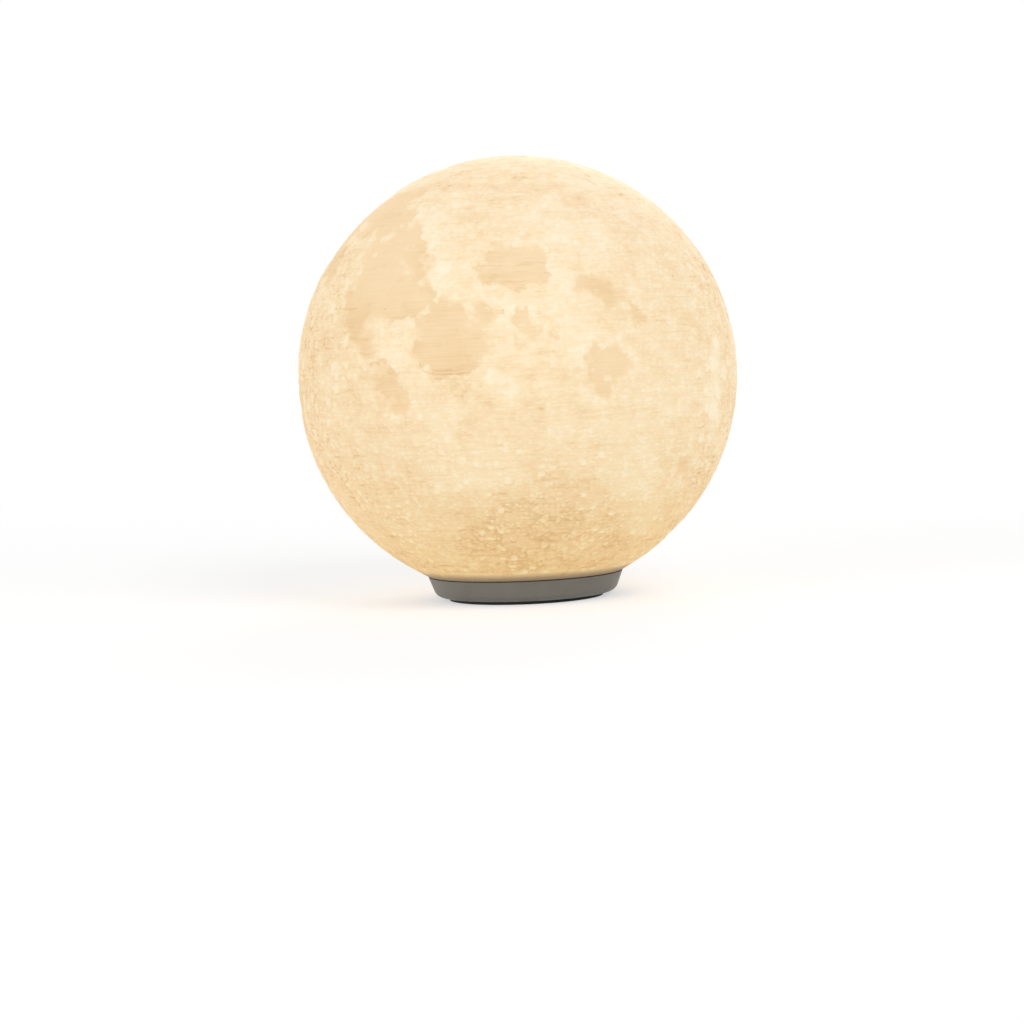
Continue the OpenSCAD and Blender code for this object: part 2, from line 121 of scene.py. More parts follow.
# %% [markdown]
# ## Floor, lights and background
# The lamp stands on a plain pale floor in soft studio light. The light is kept at the level at
# which a painted colour renders about as it is written. The background has to be white, but more
# light would wash the moon out, so the world is white only for the rays that look at it: camera
# rays, and the rays of a reflection or of clear plastic. The floor does the same in its own
# material, and keeps a share of real shading, so that the lamp still has a shadow.

# %% Helpers for node trees
WHITE = (1, 1, 1, 1)


def link(tree, value, socket):
    """Joins a socket to a node's output, or sets it to a plain value."""
    if isinstance(value, bpy.types.NodeSocket):
        tree.links.new(value, socket)
    elif value is not None:
        socket.default_value = value


def node(tree, kind, inputs=(), out=0, **settings):
    """One node with its settings and inputs. Returns the output that is asked for."""
    made = tree.nodes.new(kind)
    for name, value in settings.items():
        setattr(made, name, value)
    pairs = inputs.items() if isinstance(inputs, dict) else enumerate(inputs)
    for key, value in pairs:
        link(tree, value, made.inputs[key])
    return made.outputs[out]


def maths(tree, operation, a, b=None, c=None, clamp=False):
    values = [x for x in (a, b, c) if x is not None]
    return node(tree, "ShaderNodeMath", values, operation=operation, use_clamp=clamp)


def vectors(tree, operation, a, b=None, out=0):
    values = [x for x in (a, b) if x is not None]
    return node(tree, "ShaderNodeVectorMath", values, out, operation=operation)


def scaled(tree, vector, factor):
    inputs = {"Vector": vector, "Scale": factor}
    return node(tree, "ShaderNodeVectorMath", inputs, operation="SCALE")


def step_between(tree, value, low, high, to_low=0.0, to_high=1.0):
    """A soft step of a value from low to high."""
    inputs = [value, low, high, to_low, to_high]
    return node(tree, "ShaderNodeMapRange", inputs, interpolation_type="SMOOTHSTEP")


def noise(tree, vector, scale, detail=2.0, roughness=0.5, out=0):
    inputs = {"Vector": vector, "Scale": scale, "Detail": detail, "Roughness": roughness}
    return node(tree, "ShaderNodeTexNoise", inputs, out)


def cells(tree, vector, scale, feature="F1", out="Distance"):
    inputs = {"Vector": vector, "Scale": scale}
    return node(tree, "ShaderNodeTexVoronoi", inputs, out, feature=feature)


def times(tree, a, b):
    return maths(tree, "MULTIPLY", a, b)


def summed(tree, total, parts):
    """Adds parts to a total, each of them times its own strength."""
    for part, strength in parts:
        total = maths(tree, "MULTIPLY_ADD", part, strength, total)
    return total


def mix(tree, factor, a, b, blend="MIX"):
    """Mixes two colours."""
    made = tree.nodes.new("ShaderNodeMix")
    made.data_type = "RGBA"
    made.blend_type = blend
    link(tree, factor, made.inputs[0])
    link(tree, a, made.inputs[6])
    link(tree, b, made.inputs[7])
    return made.outputs[2]


# %% World
WORLD_FILL = 0.5


def seen_directly(tree):
    """One for camera rays, reflections and clear plastic, and none for the light that falls."""
    path = tree.nodes.new("ShaderNodeLightPath")
    seen = maths(tree, "MAXIMUM", path.outputs["Is Camera Ray"], path.outputs["Is Glossy Ray"])
    return maths(tree, "MAXIMUM", seen, path.outputs["Is Transmission Ray"])


def make_world():
    world = bpy.data.worlds.new("studio")
    world.use_nodes = True
    tree = world.node_tree
    tree.nodes.clear()
    strength = step_between(tree, seen_directly(tree), 0, 1, WORLD_FILL, 1)
    background = node(tree, "ShaderNodeBackground", [WHITE, strength])
    tree.links.new(background, node_input(tree, "ShaderNodeOutputWorld", "Surface"))
    bpy.context.scene.world = world


def node_input(tree, kind, name):
    return tree.nodes.new(kind).inputs[name]


make_world()
bpy.context.scene.view_settings.view_transform = "Standard"

# %% Floor
FLOOR_HALF = 3000 * MM
FLOOR_SHADE = 0.5
FLOOR_LIFT = 1.0 - 0.9 * FLOOR_SHADE
# What falls on the lamp comes off a plain pale floor
FLOOR_PLAIN = (0.8, 0.8, 0.8, 1)
# Inside the foot ring the floor glows a little, which only the lamp's underside can see
UNDER_R = 24.0 * MM
UNDER_GLOW = 0.75
# Past these distances from the lamp, shading fades out and the floor joins the background
FADE_FROM, FADE_TO = 220 * MM, 700 * MM


def make_floor():
    corners = [(-1, -1), (1, -1), (1, 1), (-1, 1)]
    mesh = bpy.data.meshes.new("floor")
    mesh.from_pydata([(x * FLOOR_HALF, y * FLOOR_HALF, 0) for x, y in corners], [], [(0, 1, 2, 3)])
    floor = new_object("floor", mesh)
    material = bpy.data.materials.new("floor")
    material.use_nodes = True
    tree = material.node_tree
    tree.nodes.clear()
    plain = node(tree, "ShaderNodeBsdfDiffuse", [FLOOR_PLAIN])
    shaded = node(tree, "ShaderNodeBsdfDiffuse", [(FLOOR_SHADE,) * 3 + (1,)])
    lift = node(tree, "ShaderNodeEmission", [WHITE, FLOOR_LIFT])
    near = node(tree, "ShaderNodeAddShader", [shaded, lift])
    far = node(tree, "ShaderNodeEmission", [WHITE, 1.0])
    place = tree.nodes.new("ShaderNodeTexCoord").outputs["Object"]
    distance = vectors(tree, "LENGTH", place, out="Value")
    white = node(tree, "ShaderNodeMixShader",
                 [step_between(tree, distance, FADE_FROM, FADE_TO), near, far])
    upper = node(tree, "ShaderNodeMixShader", [seen_directly(tree), plain, white])
    panel = node(tree, "ShaderNodeEmission", [WHITE, UNDER_GLOW])
    upper = node(tree, "ShaderNodeMixShader",
                 [maths(tree, "LESS_THAN", distance, UNDER_R), upper, panel])
    below = tree.nodes.new("ShaderNodeNewGeometry").outputs["Backfacing"]
    clear = tree.nodes.new("ShaderNodeBsdfTransparent").outputs[0]
    surface = node(tree, "ShaderNodeMixShader", [below, upper, clear])
    tree.links.new(surface, node_input(tree, "ShaderNodeOutputMaterial", "Surface"))
    mesh.materials.append(material)


make_floor()

# %% Lamps
# Each lamp: place in millimetres, side of the square in millimetres, and power in watts
STUDIO_LIGHTS = {
    "key": ((700, -1300, 1100), 900, 13),
    "fill": ((-1300, -900, 500), 900, 7.5),
    "rim": ((300, 1400, 1000), 900, 7),
}


def make_light(name, place, side, power):
    data = bpy.data.lights.new(name, "AREA")
    data.size = side * MM
    data.energy = power
    light = new_object(name, data)
    light.location = Vector(place) * MM
    aim = Vector((0, 0, globe_z)) - light.location
    light.rotation_mode = "QUATERNION"
    light.rotation_quaternion = aim.to_track_quat("-Z", "Y")


for name, (place, side, power) in STUDIO_LIGHTS.items():
    make_light(name, place, side, power)
print("lights:", ", ".join(STUDIO_LIGHTS))

# %% [markdown]
# ## The moon
# The real globe is printed in fine layers from a height map of the Moon: the dark seas are low and
# smooth, and the bright high ground is covered with craters. It could be sculpted, or displaced by
# an image. Here it follows rules, so Geometry Nodes build it: a profile is turned into a shell, as
# on a lathe, and a relief is added to its outer side.
#
# The seas are a list of round patches on the globe, each with a latitude and a longitude, where
# longitude zero faces the front. Their edges are made ragged with noise afterwards, so a patch
# only has to be roughly in place.

# %% Seas of the moon: latitude, longitude and radius in degrees
SEAS = [
    # The big sea on the left and its tail, and the one that joins it
    (50, -57, 9), (44, -47, 6), (38, -40, 6), (28, -42, 8), (24, -35, 7.5), (20.5, -45, 6.6),
    (31, -29, 4.5), (12, -43, 3.4), (9.3, -41, 2.0), (21, -25, 3.6), (15, -18, 6.5), (9, -19, 6),
    (10, -12, 5), (16, -10, 3.6), (6.5, -20, 4), (7, -13, 3.6),
    # Below it
    (0, -34.8, 4.0), (-4, -31.5, 3.0), (2.6, -36.3, 2.6),
    # The oval one above the middle
    (29.5, -3, 5.4), (29.5, 3, 6.2), (27, 7.5, 2.4), (31, 8.5, 2.0),
    # Scraps and a slanting one on the right
    (15, 2, 1.4), (12, 4, 2.0), (16, 8, 1.8), (11, 9, 1.2), (9, 1, 1.2),
    (22.8, 17.5, 1.5), (22.5, 21.5, 2.3), (20.5, 24.5, 2.6), (18.5, 27.5, 2.8), (16.5, 30, 2.4),
    (14.5, 33, 1.8),
    (3.5, 23.5, 4.2), (5, 20, 3), (-1, 19.5, 2.4), (-3.5, 21, 1.8),
    # Left side and back
    (47, -96, 17), (74, -94, 6), (32, -71, 5), (19, -104, 8), (4, -91, 7), (-6, -83, 8),
    (-14, -103, 6), (31, -141, 13), (15, -131, 12), (1, -119, 9), (-26, -155, 5),
    # Right side
    (60, 42, 3), (15, 84, 5), (-48, 82, 4), (-25, 52, 3),
]


# Soft patches of brighter and dimmer ground: latitude, longitude, radius and strength
GROUND = [
    (37, -27, 6, 0.7), (44, -24, 5, 0.4), (25, -20, 5, 0.8), (19, -8, 5, 0.8), (16, -1, 4, 0.6),
    (11, -31, 5, 0.7), (6, -33, 4, 0.5), (20, -62, 7, 0.5), (3, -56, 7, 0.5), (-12, -58, 8, 0.3),
    (-2, -2, 4, 0.5), (-21, -21, 6, 0.7), (-24, -12, 5, 0.8), (-25, -3, 4, 0.5),
    (42, 10, 9, 0.3), (36, 25, 8, 0.3), (24, 12, 5, 0.4), (3, 61, 4, 0.9), (-5, 61, 4, 1.1),
    (-13, 62, 4, 0.8),
    (-20, 22, 7, 0.4), (-12, 12, 6, 0.3), (-26, 36, 6, 0.4), (8, 15, 4, 0.4), (-38, -32, 6, 0.3),
    (-2, 45, 10, 0.3), (-27, 32, 9, 0.6), (-14, 34, 8, 0.4), (20, 58, 8, 0.2), (-38, 42, 6, 0.5),
    (-37, -2, 8, -0.5), (-36, 14, 9, -0.5), (-46, 0, 8, -0.3), (-46, -20, 6, -0.2),
    (-4, -15, 5, -0.5), (-11, -13, 3, -0.4), (-14, -26, 5, -0.3), (62, -40, 9, -0.4),
    (12, 50, 8, -0.25),
    (40, 45, 8, -0.3), (8, -14, 4, -0.3), (70, 10, 8, -0.3),
]


# Rims of old craters, as thin dark arcs: latitude, longitude, radius in millimetres, the way that
# the arc faces (0 is east, 90 is north), and how far it reaches to each side of that
OLD_RIMS = [
    (4.3, -37.5, 1.9, 95, 70), (5.6, -21.2, 4.2, 232, 48), (34.5, -17.0, 40.6, 269, 5.6),
    (34.5, -16.4, 41.8, 271, 7.0), (34.5, -17.0, 43.2, 269, 5.0), (-28.5, 61.6, 2.1, 0, 178),
    (33, 9, 2.4, 20, 60), (-9, -27, 3.0, 200, 60), (-12, -54, 3.4, 130, 70),
    (-20, -58, 2.8, 60, 80), (18, -55, 2.2, 160, 70), (12, 118, 3.2, 45, 75),
    (-14, 152, 2.6, 200, 178), (-30, -112, 3.6, 120, 80), (36, -150, 3.0, 300, 75),
]
# Small dark pits: latitude, longitude and radius in millimetres
PITS = [
    (28.5, 45.3, 0.5), (24.5, 49.6, 0.55), (-24.2, 7.6, 0.45), (40, 14, 0.45), (19, -36, 0.4),
    (-33, -9, 0.5), (16, 132, 0.55), (-22, -134, 0.5), (44, -120, 0.5),
]

# Bright round spots, also as latitude, longitude and radius in millimetres
SPOTS = [
    (5.1, -52.5, 1.5), (2.2, -44.2, 1.35), (4.4, -40.8, 1.1), (1.4, -5.8, 2.5),
    (32.1, -60.2, 1.2), (29.3, -19.6, 2.6), (-8, -24.9, 1.1), (-7.8, -32.7, 1.0),
    (3.9, -22.5, 1.2), (19.7, -57.5, 1.6), (11.7, -48.6, 1.4), (-19, -15, 1.1),
    (-16.8, -20.6, 1.2), (-10, 60, 3.4), (1.5, 58.5, 2.6), (-1, 66, 3.0), (7, 62, 2.4),
    (-17, 56, 2.0), (14, 104, 1.8), (-6, 122, 2.2), (22, 164, 1.6), (-18, -140, 2.0),
    (8, -76, 1.6), (-12, -68, 1.5),
]


def on_sphere(latitude, longitude):
    """The direction of a place on the globe. Longitude zero faces -Y and grows towards +X."""
    lat, lon = math.radians(latitude), math.radians(longitude)
    return Vector((math.cos(lat) * math.sin(lon), -math.cos(lat) * math.cos(lon), math.sin(lat)))


print("seas:", len(SEAS), "ground:", len(GROUND), "rims:", len(OLD_RIMS),
      "pits:", len(PITS), "spots:", len(SPOTS))

# %% [markdown]
# The relief is a field: a number for every place on the globe. The same node helpers build it in
# the geometry tree, where it moves points, and in the material, where it adds what is finer than
# the mesh. All lengths in the field are millimetres along the surface.
#
# The sea field is the depth inside the nearest patch's rim, so it is positive in a sea. Rounded
# cells are taken off it, which leaves bays and lobes of high ground along the coast, as
# on the real map.

# %% Fields of the relief
def place_mm(tree, position):
    """Where a point lies on the smooth globe, in millimetres from its middle."""
    middle = vectors(tree, "SUBTRACT", position, (0, 0, globe_z))
    return scaled(tree, vectors(tree, "NORMALIZE", middle), globe_r / MM)


def sea_field(tree, place):
    """Millimetres inside the rim of a sea, and negative on high ground."""
    field = None
    for latitude, longitude, radius in SEAS:
        angle = math.radians(radius)
        along = vectors(tree, "DOT_PRODUCT", place, on_sphere(latitude, longitude), out="Value")
        inside = maths(tree, "SUBTRACT", along, globe_r / MM * math.cos(angle))
        inside = maths(tree, "DIVIDE", inside, math.sin(angle))
        field = inside if field is None else maths(tree, "SMOOTH_MAX", field, inside, 2.5)
    return field


def ground_field(tree, place):
    """Brighter ground is positive, and dimmer ground is negative."""
    total = 0.0
    for latitude, longitude, radius, strength in GROUND:
        away = vectors(tree, "DISTANCE", place, on_sphere(latitude, longitude) * globe_r / MM,
                       out="Value")
        reach = math.radians(radius) * globe_r / MM
        total = maths(tree, "ADD", total, step_between(tree, away, 1.7 * reach, 0.3 * reach, 0,
                                                       strength))
    return total


def ragged(tree, place, field):
    """The sea field with bays and lobes along the coast."""
    bays = maths(tree, "SUBTRACT", noise(tree, place, 0.09, 4, 0.6), 0.5)
    field = maths(tree, "MULTIPLY_ADD", bays, 15, field)
    for scale, reach in ((0.13, 6.0), (0.27, 4.5)):
        lobes = maths(tree, "SUBTRACT", cells(tree, place, scale), 0.48)
        field = maths(tree, "MULTIPLY_ADD", lobes, reach, field)
    return field


# %% [markdown]
# Craters are marked by a cloud of points. The wide ones are placed one by one, and the rest follow a
# golden-angle spiral, which spreads points evenly over a ball. Each point carries its radius.

# %% Marks for the craters
WIDE_CRATERS = [
    (6, -7, 2.8), (-10, -13, 3.8), (-24, -3, 2.6), (-27, 57, 3.2), (-40, -30, 4.6),
    (-26, -74, 2.4), (24, -94, 2.4), (-47, 8, 3.4), (-43, -52, 3.6), (-18, 36, 3),
    (5, 58, 3.2), (44, 24, 3), (-36, 130, 4.2), (8, 160, 3.6), (40, 120, 3.8),
    (-8, -170, 4.4), (-50, -120, 4),
]
CRATER_COUNT = 900
CRATER_R = 1.9
GOLDEN_ANGLE = 137.508


def crater_marks():
    places, radii = [], []
    for latitude, longitude, radius in WIDE_CRATERS:
        places.append(on_sphere(latitude, longitude) * globe_r + Vector((0, 0, globe_z)))
        radii.append(radius)
    for i in range(CRATER_COUNT):
        latitude = math.degrees(math.asin(1 - 2 * (i + 0.5) / CRATER_COUNT))
        wobble = 2.0 * math.sin(12.9 * i)
        way = on_sphere(latitude + wobble, GOLDEN_ANGLE * i)
        places.append(way * globe_r + Vector((0, 0, globe_z)))
        radii.append(CRATER_R * (0.35 + 0.65 * abs(math.sin(47.0 * i)) ** 2))
    mesh = bpy.data.meshes.new("crater marks")
    mesh.from_pydata(places, [], [])
    mesh.attributes.new("crater_r", "FLOAT", "POINT").data.foreach_set("value", radii)
    return new_object("crater marks", mesh)


# %% [markdown]
# The lathe needs a profile: half of the shell's section, from the top of the globe down its outer
# side, round the lip at the seam, through the mouth, and back up the inner side. The outer side
# gets many points, because the relief needs them, and the inner side only a few. A second number
# for each point says how much relief it takes: all on the outer side, none at the lip.

# %% Profile of the shell
OUTER_STEPS = 196
INNER_STEPS = 22
SHELL_T = 2.2 * MM
FLOOR_T = 3.0 * MM
LIP_ROUND = 0.5 * MM
LIP_PLAIN = 2.0 * MM
LIP_FADE = 1.5 * MM
# The outer side ends just above the seam, where the round lip takes over
OUTER_SHARE = 0.998
LIP_TUCK = 0.6


def shell_profile():
    """Points of the profile, as radius, height and share of relief."""
    seam_angle = math.acos((seam_z - globe_z) / globe_r)
    points = []
    for i in range(OUTER_STEPS + 1):
        angle = seam_angle * i / OUTER_STEPS * OUTER_SHARE
        above = (seam_angle - angle) * globe_r
        share = min(1, max(0, (above - LIP_PLAIN) / LIP_FADE))
        points.append((globe_r * math.sin(angle), globe_z + globe_r * math.cos(angle), share))
    # The lip turns under with a small round edge
    edge_r, edge_z = points[-1][:2]
    for turn in (30, 60, 90):
        t = math.radians(turn)
        points.append((edge_r - LIP_ROUND * (1 - math.cos(t)) * LIP_TUCK,
                       edge_z - (edge_z - seam_z) * math.sin(t), 0))
    points.append((MOUTH_R, seam_z, 0))
    points.append((MOUTH_R, seam_z + FLOOR_T, 0))
    inner_r = globe_r - SHELL_T
    start = math.acos((seam_z + FLOOR_T - globe_z) / inner_r)
    for i in range(INNER_STEPS + 1):
        angle = start * (1 - i / INNER_STEPS)
        points.append((inner_r * math.sin(angle), globe_z + inner_r * math.cos(angle), 0))
    return points


def profile_object():
    points = shell_profile()
    mesh = bpy.data.meshes.new("shell profile")
    mesh.from_pydata([(r, 0, z) for r, z, share in points], [], [])
    shares = [share for r, z, share in points]
    mesh.attributes.new("relief", "FLOAT", "POINT").data.foreach_set("value", shares)
    return new_object("moon_shell", mesh)


print("profile points:", len(shell_profile()))

# %% [markdown]
# The lathe itself is a grid of points, one column for each step round the globe and one row for
# each point of the profile. Every point looks up its row's radius and height, and is turned about
# the axis by its column's angle. The first and last columns then meet, and so do all points of
# the top row, so merging by distance closes the seam and the pole. The modifier's inputs are set
# by their identifiers before Blender evaluates the object for the first time.

# %% Geometry nodes of the moon
# The relief stays this far under the smooth globe, in millimetres
TUCKED_IN = 0.04
MERGE_WITHIN = 0.002 * MM


def new_group(name, kind, inputs, outputs):
    """A node group with named sockets. Each socket is a name and a kind."""
    tree = bpy.data.node_groups.new(name, kind)
    for socket_name, socket_kind, value in inputs:
        made = tree.interface.new_socket(socket_name, in_out="INPUT", socket_type=socket_kind)
        if value is not None:
            made.default_value = value
    for socket_name, socket_kind in outputs:
        tree.interface.new_socket(socket_name, in_out="OUTPUT", socket_type=socket_kind)
    return tree, tree.nodes.new("NodeGroupInput").outputs, tree.nodes.new("NodeGroupOutput").inputs


def moon_tree(material):
    tree, given, result = new_group(
        "Moon shell", "GeometryNodeTree",
        [
            ("Profile", "NodeSocketGeometry", None),
            ("Crater Marks", "NodeSocketObject", None),
            ("Segments", "NodeSocketInt", 430),
            ("Sea Depth", "NodeSocketFloat", 0.45),
            ("Bubble Height", "NodeSocketFloat", 0.22),
            ("Crater Depth", "NodeSocketFloat", 0.25),
        ],
        [("Shell", "NodeSocketGeometry")],
    )
    rows = node(tree, "GeometryNodeAttributeDomainSize", [given["Profile"]], "Point Count")
    columns = maths(tree, "ADD", given["Segments"], 1)
    grid = node(tree, "GeometryNodeMeshGrid", [1.0, 1.0, columns, rows], "Mesh")
    index = tree.nodes.new("GeometryNodeInputIndex").outputs[0]
    row = maths(tree, "FLOORED_MODULO", index, rows)
    column = maths(tree, "FLOOR", maths(tree, "DIVIDE", maths(tree, "ADD", index, 0.5), rows))
    profile_at = tree.nodes.new("GeometryNodeInputPosition").outputs[0]

    def from_profile(value, kind):
        inputs = {"Geometry": given["Profile"], "Value": value, "Index": row}
        return node(tree, "GeometryNodeSampleIndex", inputs, data_type=kind, domain="POINT")

    relief_named = node(tree, "GeometryNodeInputNamedAttribute", ["relief"], data_type="FLOAT")
    section = node(tree, "ShaderNodeSeparateXYZ", [from_profile(profile_at, "FLOAT_VECTOR")])
    radius, height = section, section.node.outputs[2]
    turn = times(tree, maths(tree, "DIVIDE", column, given["Segments"]), 2 * math.pi)
    x = times(tree, radius, maths(tree, "COSINE", turn))
    y = times(tree, radius, maths(tree, "SINE", turn))
    on_shell = node(tree, "ShaderNodeCombineXYZ", [x, y, height])

    def stored(geometry, name, value):
        inputs = {"Geometry": geometry, "Name": name, "Value": value}
        return node(tree, "GeometryNodeStoreNamedAttribute", inputs, data_type="FLOAT",
                    domain="POINT")

    share = from_profile(relief_named, "FLOAT")
    shell = stored(grid, "relief", share)
    shell = node(tree, "GeometryNodeSetPosition", {"Geometry": shell, "Position": on_shell})

    # The relief, as millimetres out from the smooth globe
    position = tree.nodes.new("GeometryNodeInputPosition").outputs[0]
    place = place_mm(tree, position)
    sea = ragged(tree, place, sea_field(tree, place))
    shell = stored(shell, "sea", sea)
    shell = stored(shell, "ground", ground_field(tree, place))
    drowned = step_between(tree, sea, -0.6, 0.9)
    dry = maths(tree, "SUBTRACT", 1, times(tree, drowned, 0.75))

    marks = node(tree, "GeometryNodeObjectInfo", [given["Crater Marks"]], "Geometry")
    nearest = node(tree, "GeometryNodeSampleNearest", [marks, position], domain="POINT")
    mark_at = tree.nodes.new("GeometryNodeInputPosition").outputs[0]
    mark_r = node(tree, "GeometryNodeInputNamedAttribute", ["crater_r"], data_type="FLOAT")

    def from_mark(value, kind):
        inputs = {"Geometry": marks, "Value": value, "Index": nearest}
        return node(tree, "GeometryNodeSampleIndex", inputs, data_type=kind, domain="POINT")

    away = vectors(tree, "DISTANCE", position, from_mark(mark_at, "FLOAT_VECTOR"), out="Value")
    across = maths(tree, "DIVIDE", maths(tree, "DIVIDE", away, MM), from_mark(mark_r, "FLOAT"))
    bowl = maths(tree, "SUBTRACT", step_between(tree, across, 0.2, 1.0), 1)
    rim = maths(tree, "SUBTRACT", 1, maths(tree, "ABSOLUTE", maths(
        tree, "MULTIPLY", maths(tree, "SUBTRACT", across, 1.1), 2.6)), clamp=True)
    crater = maths(tree, "MULTIPLY_ADD", rim, 0.5, bowl)
    shell = stored(shell, "crater", crater)

    bubbles = maths(tree, "SUBTRACT", cells(tree, place, 0.34), 0.9)
    relief = times(tree, bubbles, given["Bubble Height"])
    relief = maths(tree, "MULTIPLY_ADD", crater, given["Crater Depth"], relief)
    relief = times(tree, relief, dry)
    sunk = times(tree, drowned, -1)
    relief = maths(tree, "MULTIPLY_ADD", sunk, given["Sea Depth"], relief)
    relief = maths(tree, "SUBTRACT", maths(tree, "MINIMUM", relief, 0), TUCKED_IN)
    kept = node(tree, "GeometryNodeInputNamedAttribute", ["relief"], data_type="FLOAT")
    moved = scaled(tree, vectors(tree, "NORMALIZE", place),
                   times(tree, times(tree, relief, kept), MM))
    shell = node(tree, "GeometryNodeSetPosition", {"Geometry": shell, "Offset": moved})
    shell = node(tree, "GeometryNodeMergeByDistance", {"Geometry": shell, "Distance": MERGE_WITHIN})
    shell = node(tree, "GeometryNodeFlipFaces", [shell])
    shell = node(tree, "GeometryNodeSetShadeSmooth", [shell])
    shell = node(tree, "GeometryNodeRealizeInstances", [shell])
    shell = node(tree, "GeometryNodeSetMaterial", {"Geometry": shell, "Material": material})
    tree.links.new(shell, result["Shell"])
    return tree


def plain_mesh(made, name):
    """Turns the result of an object's modifiers into its plain mesh."""
    depsgraph = bpy.context.evaluated_depsgraph_get()
    evaluated = made.evaluated_get(depsgraph)
    mesh = bpy.data.meshes.new_from_object(
        evaluated, preserve_all_data_layers=True, depsgraph=depsgraph)
    mesh.name = name
    made.modifiers.clear()
    made.data = mesh
    return made


def with_nodes(made, tree, **values):
    """Puts a geometry tree on an object, and sets its inputs by name."""
    modifier = made.modifiers.new(tree.name, "NODES")
    modifier.node_group = tree
    for item in tree.interface.items_tree:
        if item.in_out == "INPUT" and item.name in values:
            modifier[item.identifier] = values[item.name]
    return plain_mesh(made, made.name)


# %% [markdown]
# ### Colours of the moon
# A printed moon glows because its thin wall lets the light through. The material therefore has two
# parts: a pale plastic that the room lights, and a warm glow of its own. The glow carries most of
# the picture: high ground is cream, the seas are tan, small craters are bright with darker rims,
# and thin dark streaks follow the printed layers. It fades to brown at the lip, which is thick and
# lies below the lights.

# %% Material of the moon
PLASTIC = (0.34, 0.30, 0.23, 1)
# Glow from the darkest outlines, through the seas, to the brightest high ground
GLOW = [
    (0.00, (0.42, 0.23, 0.040)),
    (0.30, (0.575, 0.390, 0.190)),
    (0.56, (0.612, 0.462, 0.266)),
    (0.86, (0.642, 0.530, 0.358)),
    (1.00, (0.655, 0.560, 0.405)),
]
GLOW_REACH = 0.86
# Share of the glow that is left just above the lip: less, and more orange
LOW_GLOW = (0.945, 0.865, 0.62, 1)
# The lower half is a little warmer, and a painted shade makes the left side warmer and dimmer
WARM_GLOW = (1.0, 0.985, 0.945, 1)
LEFT_SHADE_TINT = (0.985, 0.945, 0.87, 1)
# Painted light from above: high up the glow is a little whiter, as if cool light fell from the sky
TOP_LIGHT_TINT = (1.0, 1.01, 1.07, 1)
LAYER_PITCH = 0.4


def new_material(name):
    material = bpy.data.materials.new(name)
    material.use_nodes = True
    tree = material.node_tree
    shader = tree.nodes["Principled BSDF"]
    return material, tree, shader


def bump(tree, shader, height):
    """Fine relief on a surface, from a height in millimetres."""
    inputs = {"Strength": 1.0, "Distance": MM, "Height": height}
    link(tree, node(tree, "ShaderNodeBump", inputs, "Normal"), shader.inputs["Normal"])


def ramp(tree, value, stops):
    made = tree.nodes.new("ShaderNodeValToRGB")
    points = made.color_ramp.elements
    while len(points) < len(stops):
        points.new(0.5)
    for point, (at, colour) in zip(points, stops):
        point.position = at
        point.color = (*colour, 1)
    link(tree, value, made.inputs[0])
    return made.outputs[0]


def attribute(tree, name):
    return node(tree, "ShaderNodeAttribute", out="Fac", attribute_name=name)


def old_rims(tree, place):
    """One on the thin arcs of the old rims."""
    mask = 0.0
    for latitude, longitude, radius, facing, reach in OLD_RIMS:
        middle = on_sphere(latitude, longitude)
        east = Vector((0, 0, 1)).cross(middle).normalized()
        turn = math.radians(facing)
        way = middle.cross(east * math.cos(turn) + middle.cross(east) * math.sin(turn))
        away = vectors(tree, "SUBTRACT", place, middle * globe_r / MM)
        off = maths(tree, "SUBTRACT", vectors(tree, "LENGTH", away, out="Value"), radius)
        arc = step_between(tree, maths(tree, "ABSOLUTE", off), 0.42, 0.08)
        around = vectors(tree, "NORMALIZE", vectors(tree, "CROSS_PRODUCT", middle, away))
        cosine = vectors(tree, "DOT_PRODUCT", around, way, out="Value")
        limit = math.cos(math.radians(reach))
        soft_end = 0.12 * math.sin(math.radians(reach))
        ends = step_between(tree, cosine, limit - soft_end, limit + soft_end)
        mask = maths(tree, "MAXIMUM", mask, times(tree, arc, ends))
    return mask


def dots(tree, place, rows):
    """One inside small round dots, which are rows of latitude, longitude and radius."""
    mask = 0.0
    for latitude, longitude, radius in rows:
        away = vectors(tree, "DISTANCE", place, on_sphere(latitude, longitude) * globe_r / MM,
                       out="Value")
        dot = step_between(tree, away, radius * 1.25, radius * 0.6)
        mask = maths(tree, "MAXIMUM", mask, dot)
    return mask


# Bubbles: cells per millimetre, the share of cells that hold one, and how squat they are
BUBBLES = {"wide": (0.24, 0.45, 1.0), "small": (0.50, 0.50, 1.1), "low": (0.30, 0.50, 1.3),
           "fine": (0.62, 0.52, 1.2)}


def bubbles(tree, place, kind):
    """The bright soft floor of each bubble, and painted light on its wall: shade below, highlight
    above.
    """
    scale, share, squeeze = BUBBLES[kind]
    pattern = tree.nodes.new("ShaderNodeTexVoronoi")
    at = vectors(tree, "MULTIPLY", place, (1, 1, squeeze))
    link(tree, at, pattern.inputs["Vector"])
    pattern.inputs["Scale"].default_value = scale
    distance = pattern.outputs["Distance"]
    own = node(tree, "ShaderNodeSeparateColor", [pattern.outputs["Color"]])
    chosen = step_between(tree, own, 1 - share, 1.25 - share)
    from_middle = vectors(tree, "SUBTRACT", at, pattern.outputs["Position"])
    above = node(tree, "ShaderNodeSeparateXYZ", [scaled(tree, from_middle, 2.0 * scale)], 2)
    floor = step_between(tree, distance, 0.46, 0.22)
    off = maths(tree, "ABSOLUTE", maths(tree, "SUBTRACT", distance, 0.48))
    wall = step_between(tree, off, 0.24, 0.0)
    return times(tree, floor, chosen), times(tree, times(tree, wall, above), chosen)


